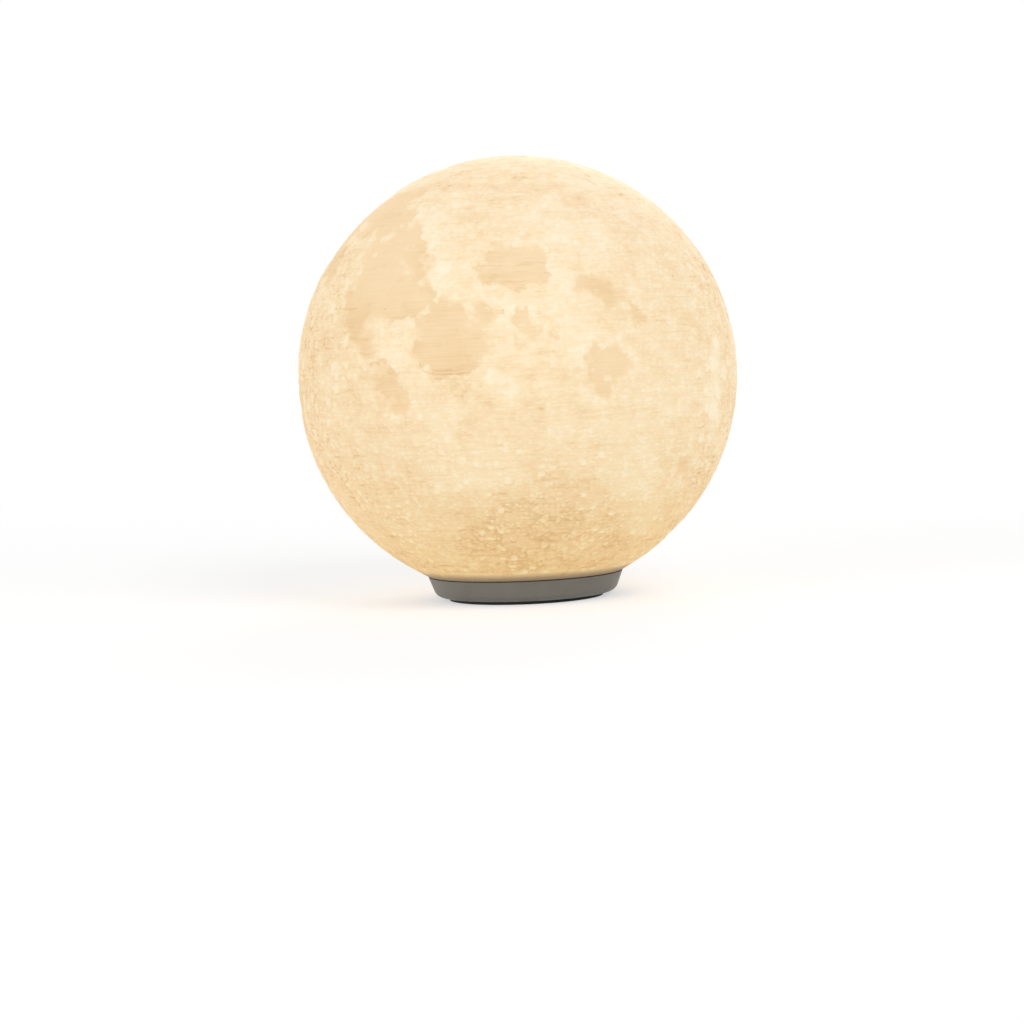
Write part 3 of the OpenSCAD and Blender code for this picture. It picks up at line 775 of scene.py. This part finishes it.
def moon_material():
    material, tree, shader = new_material("moon shell")
    position = tree.nodes.new("ShaderNodeTexCoord").outputs["Object"]
    height = node(tree, "ShaderNodeSeparateXYZ", [position], 2)
    place = place_mm(tree, position)
    warp = vectors(tree, "SUBTRACT", noise(tree, place, 0.22, 2, out="Color"), (0.5, 0.5, 0.5))
    warped = vectors(tree, "ADD", place, scaled(tree, warp, 1.6))

    # Coast of the seas, sharpened with detail that the mesh is too coarse for
    sea = attribute(tree, "sea")
    for scale, reach in ((0.55, 2.6), (1.1, 1.3)):
        lobes = maths(tree, "SUBTRACT", cells(tree, warped, scale), 0.48)
        sea = maths(tree, "MULTIPLY_ADD", lobes, reach, sea)
    softness = step_between(tree, noise(tree, place, 0.06, 2), 0.4, 0.62, 0.9, 3.4)
    drowned = step_between(tree, sea, times(tree, softness, -1), softness)
    dry = maths(tree, "SUBTRACT", 1, drowned)
    coast = step_between(tree, sea, -9, -1)

    # Broad patches and clouds
    broad = maths(tree, "SUBTRACT", noise(tree, warped, 0.04, 3), 0.5)
    clouds = maths(tree, "SUBTRACT", noise(tree, warped, 0.16, 5, 0.62), 0.5)

    # High ground has soft scales, drawn out along the layers
    flat = vectors(tree, "MULTIPLY", warped, (0.52, 0.52, 0.92))
    scales = step_between(tree, cells(tree, flat, 1.0), 0.75, 0.15)
    own = node(tree, "ShaderNodeSeparateColor", [cells(tree, flat, 1.0, out="Color")])
    scales = maths(tree, "SUBTRACT", times(tree, scales, own), 0.25)

    # Round ones crowd both sides, and squat ones the lower part of the moon
    side = node(tree, "ShaderNodeSeparateXYZ", [place], 0)
    left = step_between(tree, side, -40, -64)
    right = step_between(tree, side, 46, 66)
    lower = step_between(tree, height, globe_z - 4 * MM, globe_z - 40 * MM)
    wide_floor, wide_shade = bubbles(tree, warped, "wide")
    small_floor, small_shade = bubbles(tree, warped, "small")
    low_floor, low_shade = bubbles(tree, warped, "low")
    fine_floor, fine_shade = bubbles(tree, warped, "fine")
    depth = node(tree, "ShaderNodeSeparateXYZ", [place], 1)
    back = step_between(tree, depth, -18, 22, 0, 0.75)
    sides = maths(tree, "MAXIMUM", back, maths(tree, "MAXIMUM", left, right))
    sides = times(tree, maths(tree, "MAXIMUM", sides, 0.32), dry)
    patchy = step_between(tree, noise(tree, place, 0.055, 2), 0.42, 0.6, 0.75, 1.15)
    lower_dry = times(tree, times(tree, lower, dry), patchy)
    small_floor = times(tree, small_floor, 0.65)
    floors = times(tree, maths(tree, "MAXIMUM", wide_floor, small_floor), sides)
    floors = maths(tree, "MAXIMUM", floors, times(tree, maths(
        tree, "MAXIMUM", low_floor, times(tree, fine_floor, 0.7)),
        times(tree, lower_dry, 1.25)))
    # Painted shade on the lower walls of the bubbles and painted highlight on their upper walls
    painted_wall_shading = times(tree, maths(tree, "ADD", wide_shade, small_shade),
                   times(tree, sides, 1.5))
    painted_low_wall_shading = maths(tree, "ADD", low_shade, fine_shade)
    painted_wall_shading = maths(tree, "MULTIPLY_ADD", painted_low_wall_shading, lower_dry, painted_wall_shading)

    # Thin curved walls between wide bubbles, towards both sides
    wrinkle_at = vectors(tree, "ADD", place, scaled(tree, warp, 2.6))
    wrinkle_at = vectors(tree, "MULTIPLY", wrinkle_at, (1, 1, 1.35))
    to_edge = cells(tree, wrinkle_at, 0.24, "DISTANCE_TO_EDGE")
    walls = step_between(tree, to_edge, 0.11, 0.0)
    some_walls = step_between(tree, noise(tree, place, 0.11, 2), 0.38, 0.54)
    walls = times(tree, walls, some_walls)
    walls = times(tree, walls, maths(
        tree, "MAXIMUM", sides, times(tree, lower_dry, 0.4)))

    # Streaks of the printed layers: noise that is drawn out sideways
    drawn_out = vectors(tree, "MULTIPLY", warped, (0.07, 0.07, 1.1))
    streaks = step_between(tree, noise(tree, drawn_out, 1.0, 2, 0.6), 0.56, 0.70)
    finely = vectors(tree, "MULTIPLY", place, (0.07, 0.07, 1.5))
    fine_streaks = maths(tree, "SUBTRACT", noise(tree, finely, 1.0, 2, 0.6), 0.5)
    longer = vectors(tree, "MULTIPLY", warped, (0.025, 0.025, 0.8))
    long_streaks = step_between(tree, noise(tree, longer, 1.0, 3, 0.65), 0.54, 0.70)
    some_streaks = step_between(tree, noise(tree, place, 0.05, 2), 0.42, 0.62, 0.25, 1.0)

    near_place = vectors(tree, "ADD", place, scaled(tree, warp, 0.9))
    outline = maths(tree, "MAXIMUM", old_rims(tree, near_place), dots(tree, near_place, PITS))
    spots = dots(tree, near_place, SPOTS)

    crater = attribute(tree, "crater")
    ground = attribute(tree, "ground")
    rough = step_between(tree, drowned, 0, 1, 1.0, 0.45)
    clouds = times(tree, clouds, step_between(tree, lower, 0, 1, 1.0, 0.5))
    # The tone: what lies on high ground alone, and then what lies everywhere
    tone = maths(tree, "MULTIPLY_ADD", broad, 0.7, 0.68)
    high_ground = ((ground, 0.30), (clouds, 1.0), (coast, 0.08), (scales, 0.36))
    high_ground = [(times(tree, part, dry), strength) for part, strength in high_ground]
    tone = summed(tree, tone, high_ground)
    tone = summed(tree, tone, (
        (floors, 0.52), (painted_wall_shading, 0.16), (lower_dry, -0.10), (sides, -0.10), (walls, -0.24),
        (drowned, -0.36), (times(tree, streaks, some_streaks), -0.20),
        (times(tree, fine_streaks, rough), 0.65), (times(tree, long_streaks, lower), -0.16),
        (outline, -0.26), (spots, 0.40), (crater, 0.06)))

    # The glow weakens towards the base and dies at the lip
    above_seam = maths(tree, "DIVIDE", maths(tree, "SUBTRACT", height, seam_z), MM)
    low = step_between(tree, above_seam, 50, 0)
    tone = maths(tree, "MULTIPLY_ADD", low, -0.10, tone)
    glow = ramp(tree, times(tree, tone, GLOW_REACH), GLOW)
    # Painted light from above: towards the top the glow turns a little whiter
    high = step_between(tree, above_seam, 80, 130)
    low_glow_and_top_light = mix(tree, high, mix(tree, low, WHITE, LOW_GLOW), TOP_LIGHT_TINT)
    glow = mix(tree, 1.0, glow, low_glow_and_top_light, "MULTIPLY")
    warm = step_between(tree, above_seam, 92, 42)
    glow = mix(tree, 1.0, glow, mix(tree, warm, WHITE, WARM_GLOW), "MULTIPLY")
    # Painted shade: the left side of the glow is a little warmer and dimmer
    painted_left_shade = step_between(tree, side, -25, -72)
    glow = mix(tree, 1.0, glow, mix(tree, painted_left_shade, WHITE, LEFT_SHADE_TINT), "MULTIPLY")
    lip = step_between(tree, above_seam, 3.4, 0.2)
    glow = mix(tree, lip, glow, (0.12, 0.07, 0.032, 1))
    plastic = mix(tree, times(tree, drowned, 0.35), PLASTIC, (0.32, 0.27, 0.20, 1))
    # Painted shade: just above the seam the plastic is darker, as if in shadow
    plastic = mix(tree, lip, plastic, (0.25, 0.22, 0.17, 1))
    link(tree, plastic, shader.inputs["Base Color"])
    link(tree, glow, shader.inputs["Emission Color"])
    shader.inputs["Emission Strength"].default_value = 1
    shader.inputs["Roughness"].default_value = 0.62
    shader.inputs["Specular IOR Level"].default_value = 0.25

    # Relief that is finer than the mesh, with the printed layers on top
    layers = maths(tree, "SINE", times(tree, above_seam, 2 * math.pi / LAYER_PITCH))
    relief = summed(tree, times(tree, floors, -0.07), (
        (times(tree, scales, dry), 0.03), (walls, 0.06), (times(tree, clouds, dry), 0.25),
        (fine_streaks, 0.10), (layers, 0.006)))
    bump(tree, shader, times(tree, relief, maths(tree, "SUBTRACT", 1, lip)))
    return material


# %% Build the moon
marks = crater_marks()
moon_look = moon_material()
moon = profile_object()
with_nodes(moon, moon_tree(moon_look), **{"Crater Marks": marks})
bpy.data.objects.remove(marks)
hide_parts("moon_globe")
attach(moon, "globe")
moon_faces = sum(len(p.vertices) - 2 for p in moon.data.polygons)
print("moon shell:", len(moon.data.vertices), "points,", moon_faces, "triangles")

# %% [markdown]
# ## Finishes
# Moulded plastic is never perfectly even: it has a fine grain from the tool, and wear leaves
# duller smudges. Turned and brushed metal has fine lines. Many materials here share these effects,
# so each effect is a node group that is built once. A group puts out a height or a mask, and the
# material decides what to do with it.

# %% Shared effects
def effect(name, inputs, outputs, build):
    """A shader group. Its inputs are numbers, after one vector: a place in millimetres."""
    sockets = [("Place", "NodeSocketVector", None)]
    sockets += [(n, "NodeSocketFloat", value) for n, value in inputs]
    tree, given, result = new_group(name, "ShaderNodeTree", sockets,
                                    [(n, "NodeSocketFloat") for n in outputs])
    for socket_name, value in zip(outputs, build(tree, given)):
        link(tree, value, result[socket_name])
    return tree


def build_grain(tree, given):
    fine = noise(tree, given["Place"], given["Per mm"], 2, 0.6)
    pits = cells(tree, given["Place"], times(tree, given["Per mm"], 1.7))
    height = maths(tree, "MULTIPLY_ADD", pits, 0.5, fine)
    return height, maths(tree, "SUBTRACT", fine, 0.5)


def build_smudges(tree, given):
    wide = noise(tree, given["Place"], given["Per mm"], 4, 0.65)
    mask = step_between(tree, wide, 0.48, 0.66)
    scuffs = noise(tree, vectors(tree, "MULTIPLY", given["Place"], (3.0, 0.5, 0.5)), 1.0, 2, 0.7)
    return mask, step_between(tree, scuffs, 0.62, 0.72)


def build_turned(tree, given):
    """Rings about the lamp's axis."""
    flat = vectors(tree, "MULTIPLY", given["Place"], (1, 1, 0))
    radius = vectors(tree, "LENGTH", flat, out="Value")
    rings = node(tree, "ShaderNodeTexNoise", {"W": times(tree, radius, given["Per mm"]),
                                              "Scale": 1.0, "Detail": 3.0},
                 noise_dimensions="1D")
    return (rings,)


def build_brushed(tree, given):
    """Straight lines along X."""
    lines = vectors(tree, "MULTIPLY", given["Place"], (0.15, 1, 1))
    return (noise(tree, lines, given["Per mm"], 2, 0.6),)


grain = effect("moulded grain", [("Per mm", 3.0)], ["Height", "Mottle"], build_grain)
smudges = effect("smudges", [("Per mm", 0.12)], ["Smudge", "Scuff"], build_smudges)
turned = effect("turned rings", [("Per mm", 6.0)], ["Rings"], build_turned)
brushed = effect("brushed lines", [("Per mm", 9.0)], ["Lines"], build_brushed)
print("shared effects:", grain.name, smudges.name, turned.name, brushed.name)


# %% [markdown]
# One function then makes a finish from a few numbers: a colour, how rough it is, how much the
# colour and the roughness vary, and which fine relief it has. The numbers that are the same all
# over a surface, such as metal or clear plastic, are set on the shader's own sockets.

# %% A finish from numbers
def group_outputs(tree, group, place, per_mm):
    made = tree.nodes.new("ShaderNodeGroup")
    made.node_tree = group
    tree.links.new(place, made.inputs["Place"])
    made.inputs["Per mm"].default_value = per_mm
    return made.outputs


def shifted(colour, factor):
    return tuple(min(1, c * factor) for c in colour) + (1,)


def object_mm(tree):
    """Where a point lies on its object, in millimetres."""
    return scaled(tree, tree.nodes.new("ShaderNodeTexCoord").outputs["Object"], 1 / MM)


def finish(name, colour, rough, vary=0.12, grain_per_mm=3.0, grain_deep=0.02, lines=None,
           lines_deep=0.01, metal=0.0, clear=0.0, coat=0.0, glow=None):
    material, tree, shader = new_material(name)
    place = object_mm(tree)
    fine = group_outputs(tree, grain, place, grain_per_mm)
    marks_on = group_outputs(tree, smudges, place, 0.12)
    # Colour: a slow mottle, and a fine one from the grain
    slow = noise(tree, place, 0.25, 3)
    both = maths(tree, "MULTIPLY_ADD", fine["Mottle"], 0.8, slow)
    even = mix(tree, both, shifted(colour, 1 - vary), shifted(colour, 1 + vary))
    dusty = mix(tree, times(tree, marks_on["Scuff"], 0.25), even,
                shifted(colour, 1.25))
    link(tree, dusty, shader.inputs["Base Color"])
    dull = maths(tree, "MULTIPLY_ADD", marks_on["Smudge"], 0.12, rough)
    link(tree, maths(tree, "MULTIPLY_ADD", fine["Mottle"], 0.1, dull), shader.inputs["Roughness"])
    height = times(tree, fine["Height"], grain_deep)
    if lines is not None:
        group, per_mm = lines
        pattern = group_outputs(tree, group, place, per_mm)[0]
        height = maths(tree, "MULTIPLY_ADD", pattern, lines_deep, height)
    bump(tree, shader, height)
    shader.inputs["Metallic"].default_value = metal
    shader.inputs["Transmission Weight"].default_value = clear
    shader.inputs["Coat Weight"].default_value = coat
    if glow:
        shader.inputs["Emission Color"].default_value = (*glow, 1)
        shader.inputs["Emission Strength"].default_value = 1
    return material


# Numbers are linear colours, from 0 to 1
FINISHES = {
    "lock_white": finish("lock white", (0.74, 0.71, 0.62), 0.42),
    "base_grey": finish("base grey", (0.178, 0.172, 0.155), 0.46, 0.10, 4.0, 0.012,
                        lines=(turned, 1.2), lines_deep=0.02),
    "button_grey": finish("button grey", (0.24, 0.235, 0.215), 0.38, 0.06, 4.0, 0.006),
    "foot_silicone": finish("foot silicone", (0.032, 0.030, 0.028), 0.78, 0.25, 2.5, 0.02),
    "touch_chrome": finish("touch chrome", (0.72, 0.73, 0.74), 0.12, 0.03, 2.0, 0.001,
                           lines=(turned, 14.0), lines_deep=0.003, metal=1.0),
    "pin_brass": finish("pin brass", (0.66, 0.43, 0.13), 0.25, 0.08, 3.0, 0.002,
                        lines=(turned, 10.0), metal=1.0),
    "screw_steel": finish("screw steel", (0.52, 0.53, 0.54), 0.30, 0.10, 3.0, 0.004, metal=1.0),
    "socket_steel": finish("socket steel", (0.60, 0.60, 0.61), 0.22, 0.06, 3.0, 0.002,
                           lines=(brushed, 12.0), lines_deep=0.004, metal=1.0),
    "black_plastic": finish("black plastic", (0.012, 0.012, 0.013), 0.5, 0.3, 6.0, 0.006),
    "pipe_clear": finish("pipe clear", (0.86, 0.88, 0.90), 0.22, 0.03, 1.0, 0.001, clear=0.55,
                         coat=0.6),
    "header_cream": finish("header cream", (0.80, 0.74, 0.60), 0.4, 0.05, 4.0, 0.004),
    "pad_foam": finish("pad foam", (0.045, 0.045, 0.048), 0.95, 0.4, 2.2, 0.10),
    "lead_red": finish("red insulation", (0.50, 0.018, 0.015), 0.35, 0.08, 2.0, 0.006, coat=0.2),
    "lead_black": finish("black insulation", (0.010, 0.010, 0.011), 0.35, 0.2, 2.0, 0.006,
                         coat=0.2),
    "lead_white": finish("white insulation", (0.72, 0.69, 0.60), 0.35, 0.05, 2.0, 0.006, coat=0.2),
    "light_small": finish("small light", (0.78, 0.80, 0.66), 0.15, 0.05, 3.0, 0.002, coat=0.6),
    "light_warm": finish("warm light", (0.85, 0.50, 0.06), 0.3, 0.08, 3.0, 0.004, coat=0.5,
                         glow=(1.0, 0.62, 0.22)),
    "light_cool": finish("cool light", (0.85, 0.82, 0.30), 0.3, 0.08, 3.0, 0.004, coat=0.5),
    "dome_milky": finish("milky dome", (0.86, 0.83, 0.76), 0.35, 0.03, 3.0, 0.003,
                         glow=(0.22, 0.16, 0.085)),
}
print("plain finishes:", len(FINISHES))


# %% [markdown]
# Three finishes have a pattern of their own: the control board, with copper tracks under a green
# mask, the white light board, and the cell, whose foil is embossed with a fine grid.

# %% Boards and cell
TRACKS_PER_MM = 0.9
FOIL_PITCH = 0.9


def tracks(tree, place):
    """Straight copper tracks in two directions, which take turns from cell to cell."""
    turn_at = step_between(tree, cells(tree, place, 0.22, out="Color"), 0.49, 0.51)
    parts = node(tree, "ShaderNodeSeparateXYZ", [place])
    along = maths(tree, "FRACT", times(tree, parts, TRACKS_PER_MM))
    across = maths(tree, "FRACT", times(tree, parts.node.outputs[1], TRACKS_PER_MM))
    offs = [maths(tree, "ABSOLUTE", maths(tree, "SUBTRACT", x, 0.5)) for x in (along, across)]
    lines = [step_between(tree, off, 0.22, 0.16) for off in offs]
    return node(tree, "ShaderNodeMix", {"Factor": turn_at, "A": lines[0], "B": lines[1]})


def board_finish(name, mask_colour, track_colour, rough):
    material = finish(name, mask_colour, rough, 0.06, 3.0, 0.004, coat=0.3)
    tree = material.node_tree
    shader = tree.nodes["Principled BSDF"]
    place = object_mm(tree)
    pattern = tracks(tree, place)
    plain = shader.inputs["Base Color"].links[0].from_socket
    link(tree, mix(tree, pattern, plain, (*track_colour, 1)), shader.inputs["Base Color"])
    height = times(tree, pattern, 0.03)
    bump(tree, shader, height)
    return material


def cell_finish():
    material = finish("cell foil", (0.50, 0.52, 0.55), 0.34, 0.05, 1.5, 0.01, metal=0.9)
    tree = material.node_tree
    shader = tree.nodes["Principled BSDF"]
    place = object_mm(tree)
    parts = node(tree, "ShaderNodeSeparateXYZ", [place])
    ridges = [maths(tree, "SINE", times(tree, x, 2 * math.pi / FOIL_PITCH))
              for x in (parts, parts.node.outputs[1])]
    height = times(tree, times(tree, *ridges), 0.02)
    wrinkles = noise(tree, place, 0.3, 3, 0.6)
    height = maths(tree, "MULTIPLY_ADD", wrinkles, 0.4, height)
    bump(tree, shader, height)
    return material


FINISHES["board_green"] = board_finish("board green", (0.012, 0.105, 0.035),
                                       (0.025, 0.19, 0.06), 0.35)
FINISHES["light_board_white"] = board_finish("light board white", (0.82, 0.82, 0.80),
                                             (0.74, 0.74, 0.71), 0.4)
FINISHES["cell_foil"] = cell_finish()

# %% Give every node its finish
slots = {row["node"]: row["material_slot"] for row in frame["record"]["subparts"]}
for node_name, piece in nodes.items():
    if slots[node_name] in FINISHES:
        piece.material_slots[0].material = FINISHES[slots[node_name]]
print("finished nodes:", sum(slots[n] in FINISHES for n in nodes), "of", len(nodes))

# %% [markdown]
# ## Small parts
# The boards carry small soldered parts, too many to place as solids of their own: chip resistors,
# the legs of the chips, and a fillet of solder at both ends of every light. Each kind is one small
# mesh with a few dozen faces, and a list of marks says where it goes and how far it is turned. One
# geometry tree then puts a copy at every mark, so all of these pieces are made the same way.

# %% One tree that puts a part at every mark
def parts_tree():
    tree, given, result = new_group(
        "Parts at marks", "GeometryNodeTree",
        [("Marks", "NodeSocketGeometry", None), ("Part", "NodeSocketObject", None),
         ("Finish", "NodeSocketMaterial", None)],
        [("Parts", "NodeSocketGeometry")],
    )
    part = node(tree, "GeometryNodeObjectInfo", [given["Part"]], "Geometry")
    turn = node(tree, "GeometryNodeInputNamedAttribute", ["turn"], data_type="FLOAT")
    rotation = node(tree, "FunctionNodeEulerToRotation", [node(tree, "ShaderNodeCombineXYZ",
                                                               {"Z": turn})])
    copies = node(tree, "GeometryNodeInstanceOnPoints",
                  {"Points": given["Marks"], "Instance": part, "Rotation": rotation})
    parts = node(tree, "GeometryNodeRealizeInstances", [copies])
    parts = node(tree, "GeometryNodeSetMaterial", {"Geometry": parts, "Material": given["Finish"]})
    tree.links.new(parts, result["Parts"])
    return tree


PARTS_TREE = parts_tree()


def parts_at(name, part, marks_at, slot, body):
    """One piece from a mesh and its marks. A mark is X, Y and Z in millimetres, and degrees."""
    mesh = bpy.data.meshes.new(name)
    mesh.from_pydata([Vector(mark[:3]) * MM for mark in marks_at], [], [])
    turns = [math.radians(mark[3]) for mark in marks_at]
    mesh.attributes.new("turn", "FLOAT", "POINT").data.foreach_set("value", turns)
    made = new_object(name, mesh)
    model = new_object(name + " part", part)
    with_nodes(made, PARTS_TREE, Part=model, Finish=FINISHES[slot])
    bpy.data.objects.remove(model)
    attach(made, body)
    print(name + ":", len(marks_at), "parts,", len(made.data.polygons), "faces")
    return made


# %% Meshes of the small parts
EDGE_ROUND = 0.06


def block(bm, low, high):
    """A block with rounded edges between two corners, in millimetres."""
    made = bmesh.ops.create_cube(bm, size=1.0)["verts"]
    low, high = Vector(low), Vector(high)
    for v in made:
        middle, size = (low + high) / 2, high - low
        v.co = Vector(middle[i] + v.co[i] * size[i] for i in range(3)) * MM
    edges = {e for v in made for e in v.link_edges}
    bmesh.ops.bevel(bm, geom=list(edges), offset=EDGE_ROUND * MM, segments=1, affect="EDGES")


def part_mesh(name, build):
    bm = bmesh.new()
    build(bm)
    bmesh.ops.recalc_face_normals(bm, faces=bm.faces)
    mesh = bpy.data.meshes.new(name)
    bm.to_mesh(mesh)
    bm.free()
    return mesh


def build_resistor(bm):
    block(bm, (-0.62, -0.4, 0.03), (0.62, 0.4, 0.45))


def build_caps(bm):
    for side in (-1, 1):
        ends = sorted((side * 0.5, side * 0.85))
        block(bm, (ends[0], -0.43, -0.02), (ends[1], 0.43, 0.5))


def build_leg(bm):
    """A bent leg that leaves its chip towards +X and comes down to the board."""
    half, thick = 0.17, 0.13
    path = [(-0.1, 0.62), (0.30, 0.62), (0.48, 0.10), (0.85, 0.10)]
    rings = []
    for x, z in path:
        corners = [(x, -half, z - thick / 2), (x, half, z - thick / 2),
                   (x, half, z + thick / 2), (x, -half, z + thick / 2)]
        rings.append([bm.verts.new(Vector(c) * MM) for c in corners])
    for a, b in zip(rings, rings[1:]):
        for i in range(4):
            bm.faces.new((a[i], a[(i + 1) % 4], b[(i + 1) % 4], b[i]))
    bm.faces.new(rings[0])
    bm.faces.new(rings[-1])


def build_fillet(bm):
    """A wedge of solder, 2.2 wide, that leans on a light's end and faces +Y."""
    half, run, rise = 1.1, 0.42, 0.42
    outline = [(-0.02, -0.02), (run, -0.02), (run * 0.55, rise * 0.2), (run * 0.2, rise * 0.55),
               (-0.02, rise)]
    rings = [[bm.verts.new(Vector((x, y, z)) * MM) for y, z in outline] for x in (-half, half)]
    for i in range(len(outline)):
        j = (i + 1) % len(outline)
        bm.faces.new((rings[0][i], rings[0][j], rings[1][j], rings[1][i]))
    for ring in rings:
        bm.faces.new(ring)


# %% Place the small parts on both boards
BOARD_TOP = 10.6
LIGHT_TOP = 28.0
LIGHT_CIRCLE = 11.0
LIGHT_HALF = 1.75

resistor_marks = [(x, 1.4, BOARD_TOP, 90) for x in (-2.6, -1.0, 0.6, 2.2)]
resistor_marks += [(x, -6.6, BOARD_TOP, 90) for x in (-2.0, -0.4, 1.2, 2.8)]
resistor_marks += [(-11.2, y, BOARD_TOP, 0) for y in (-4.2, -2.6, -1.0, 0.6, 2.2)]
resistor_marks += [(x, 8.9, BOARD_TOP, 0) for x in (0.6, 3.2)]
resistor_marks += [(12.4, -7.4, BOARD_TOP, 30), (10.6, -9.6, BOARD_TOP, 30)]
parts_at("board_resistors", part_mesh("resistor", build_resistor), resistor_marks,
         "black_plastic", "base")
parts_at("board_resistor_caps", part_mesh("caps", build_caps), resistor_marks,
         "socket_steel", "base")

# Each chip with legs: middle in X and Y, half its width, and the rows of its legs in Y
LEGGED_CHIPS = [(7, 5, 2.5, (-1.4, -0.47, 0.47, 1.4)), (-6, -4, 1.5, (-1.9, -0.63, 0.63, 1.9)),
                (8, -4, 1.5, (-0.95, 0, 0.95))]
leg_marks = []
for x, y, half, row in LEGGED_CHIPS:
    leg_marks += [(x + half, y + dy, BOARD_TOP, 0) for dy in row]
    leg_marks += [(x - half, y + dy, BOARD_TOP, 180) for dy in row]
parts_at("chip_legs", part_mesh("leg", build_leg), leg_marks, "socket_steel", "base")

solder_marks = []
for i in range(12):
    angle = 15 + 30 * i
    out = Quaternion((0, 0, 1), math.radians(angle))
    for side in (1, -1):
        at = out @ Vector((LIGHT_CIRCLE, side * LIGHT_HALF, LIGHT_TOP))
        solder_marks.append((at.x, at.y, at.z, angle if side > 0 else angle + 180))
parts_at("light_solder", part_mesh("fillet", build_fillet), solder_marks, "socket_steel", "base")

# %% [markdown]
# The button sits on the underside and is found by touch, so it carries the usual mark for on and
# off: a ring that is open at one side, with a short bar in the opening. It is a raised bead, so it
# is swept: a small round section follows an arc and a line, which suits curve nodes.

# %% Mark on the button
MARK_R = 1.9
BEAD_R = 0.2


def mark_tree():
    tree, given, result = new_group(
        "Button mark", "GeometryNodeTree",
        [("Points", "NodeSocketGeometry", None), ("Ring Radius", "NodeSocketFloat", MARK_R * MM),
         ("Bead Radius", "NodeSocketFloat", BEAD_R * MM), ("Height", "NodeSocketFloat", 0.0),
         ("Finish", "NodeSocketMaterial", None)],
        [("Mark", "NodeSocketGeometry")],
    )
    section = node(tree, "GeometryNodeCurvePrimitiveCircle",
                   {"Resolution": 12, "Radius": given["Bead Radius"]})
    arc = node(tree, "GeometryNodeCurveArc", {
        "Resolution": 48, "Radius": given["Ring Radius"],
        "Start Angle": math.radians(-50), "Sweep Angle": math.radians(280)})
    reach = node(tree, "ShaderNodeCombineXYZ",
                 {"Y": times(tree, given["Ring Radius"], -1.25)})
    inner = node(tree, "ShaderNodeCombineXYZ",
                 {"Y": times(tree, given["Ring Radius"], -0.2)})
    bar = node(tree, "GeometryNodeCurvePrimitiveLine", {"Start": inner, "End": reach})
    both = tree.nodes.new("GeometryNodeJoinGeometry")
    tree.links.new(arc, both.inputs[0])
    tree.links.new(bar, both.inputs[0])
    bead = node(tree, "GeometryNodeCurveToMesh",
                {"Curve": both.outputs[0], "Profile Curve": section, "Fill Caps": True})
    up = node(tree, "ShaderNodeCombineXYZ", {"Z": given["Height"]})
    bead = node(tree, "GeometryNodeTransform",
                {"Geometry": bead, "Translation": up, "Scale": (1, 1, 0.55)})
    bead = node(tree, "GeometryNodeSetShadeSmooth", [bead])
    bead = node(tree, "GeometryNodeRealizeInstances", [bead])
    bead = node(tree, "GeometryNodeSetMaterial", {"Geometry": bead, "Material": given["Finish"]})
    tree.links.new(bead, result["Mark"])
    return tree


mark = new_object("button_mark", bpy.data.meshes.new("button_mark"))
button_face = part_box("power_button")[0].z
with_nodes(mark, mark_tree(), Height=button_face, Finish=FINISHES["lock_white"])
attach(mark, "button")
print("button mark:", len(mark.data.polygons), "faces, on the face at", round(button_face / MM, 2))
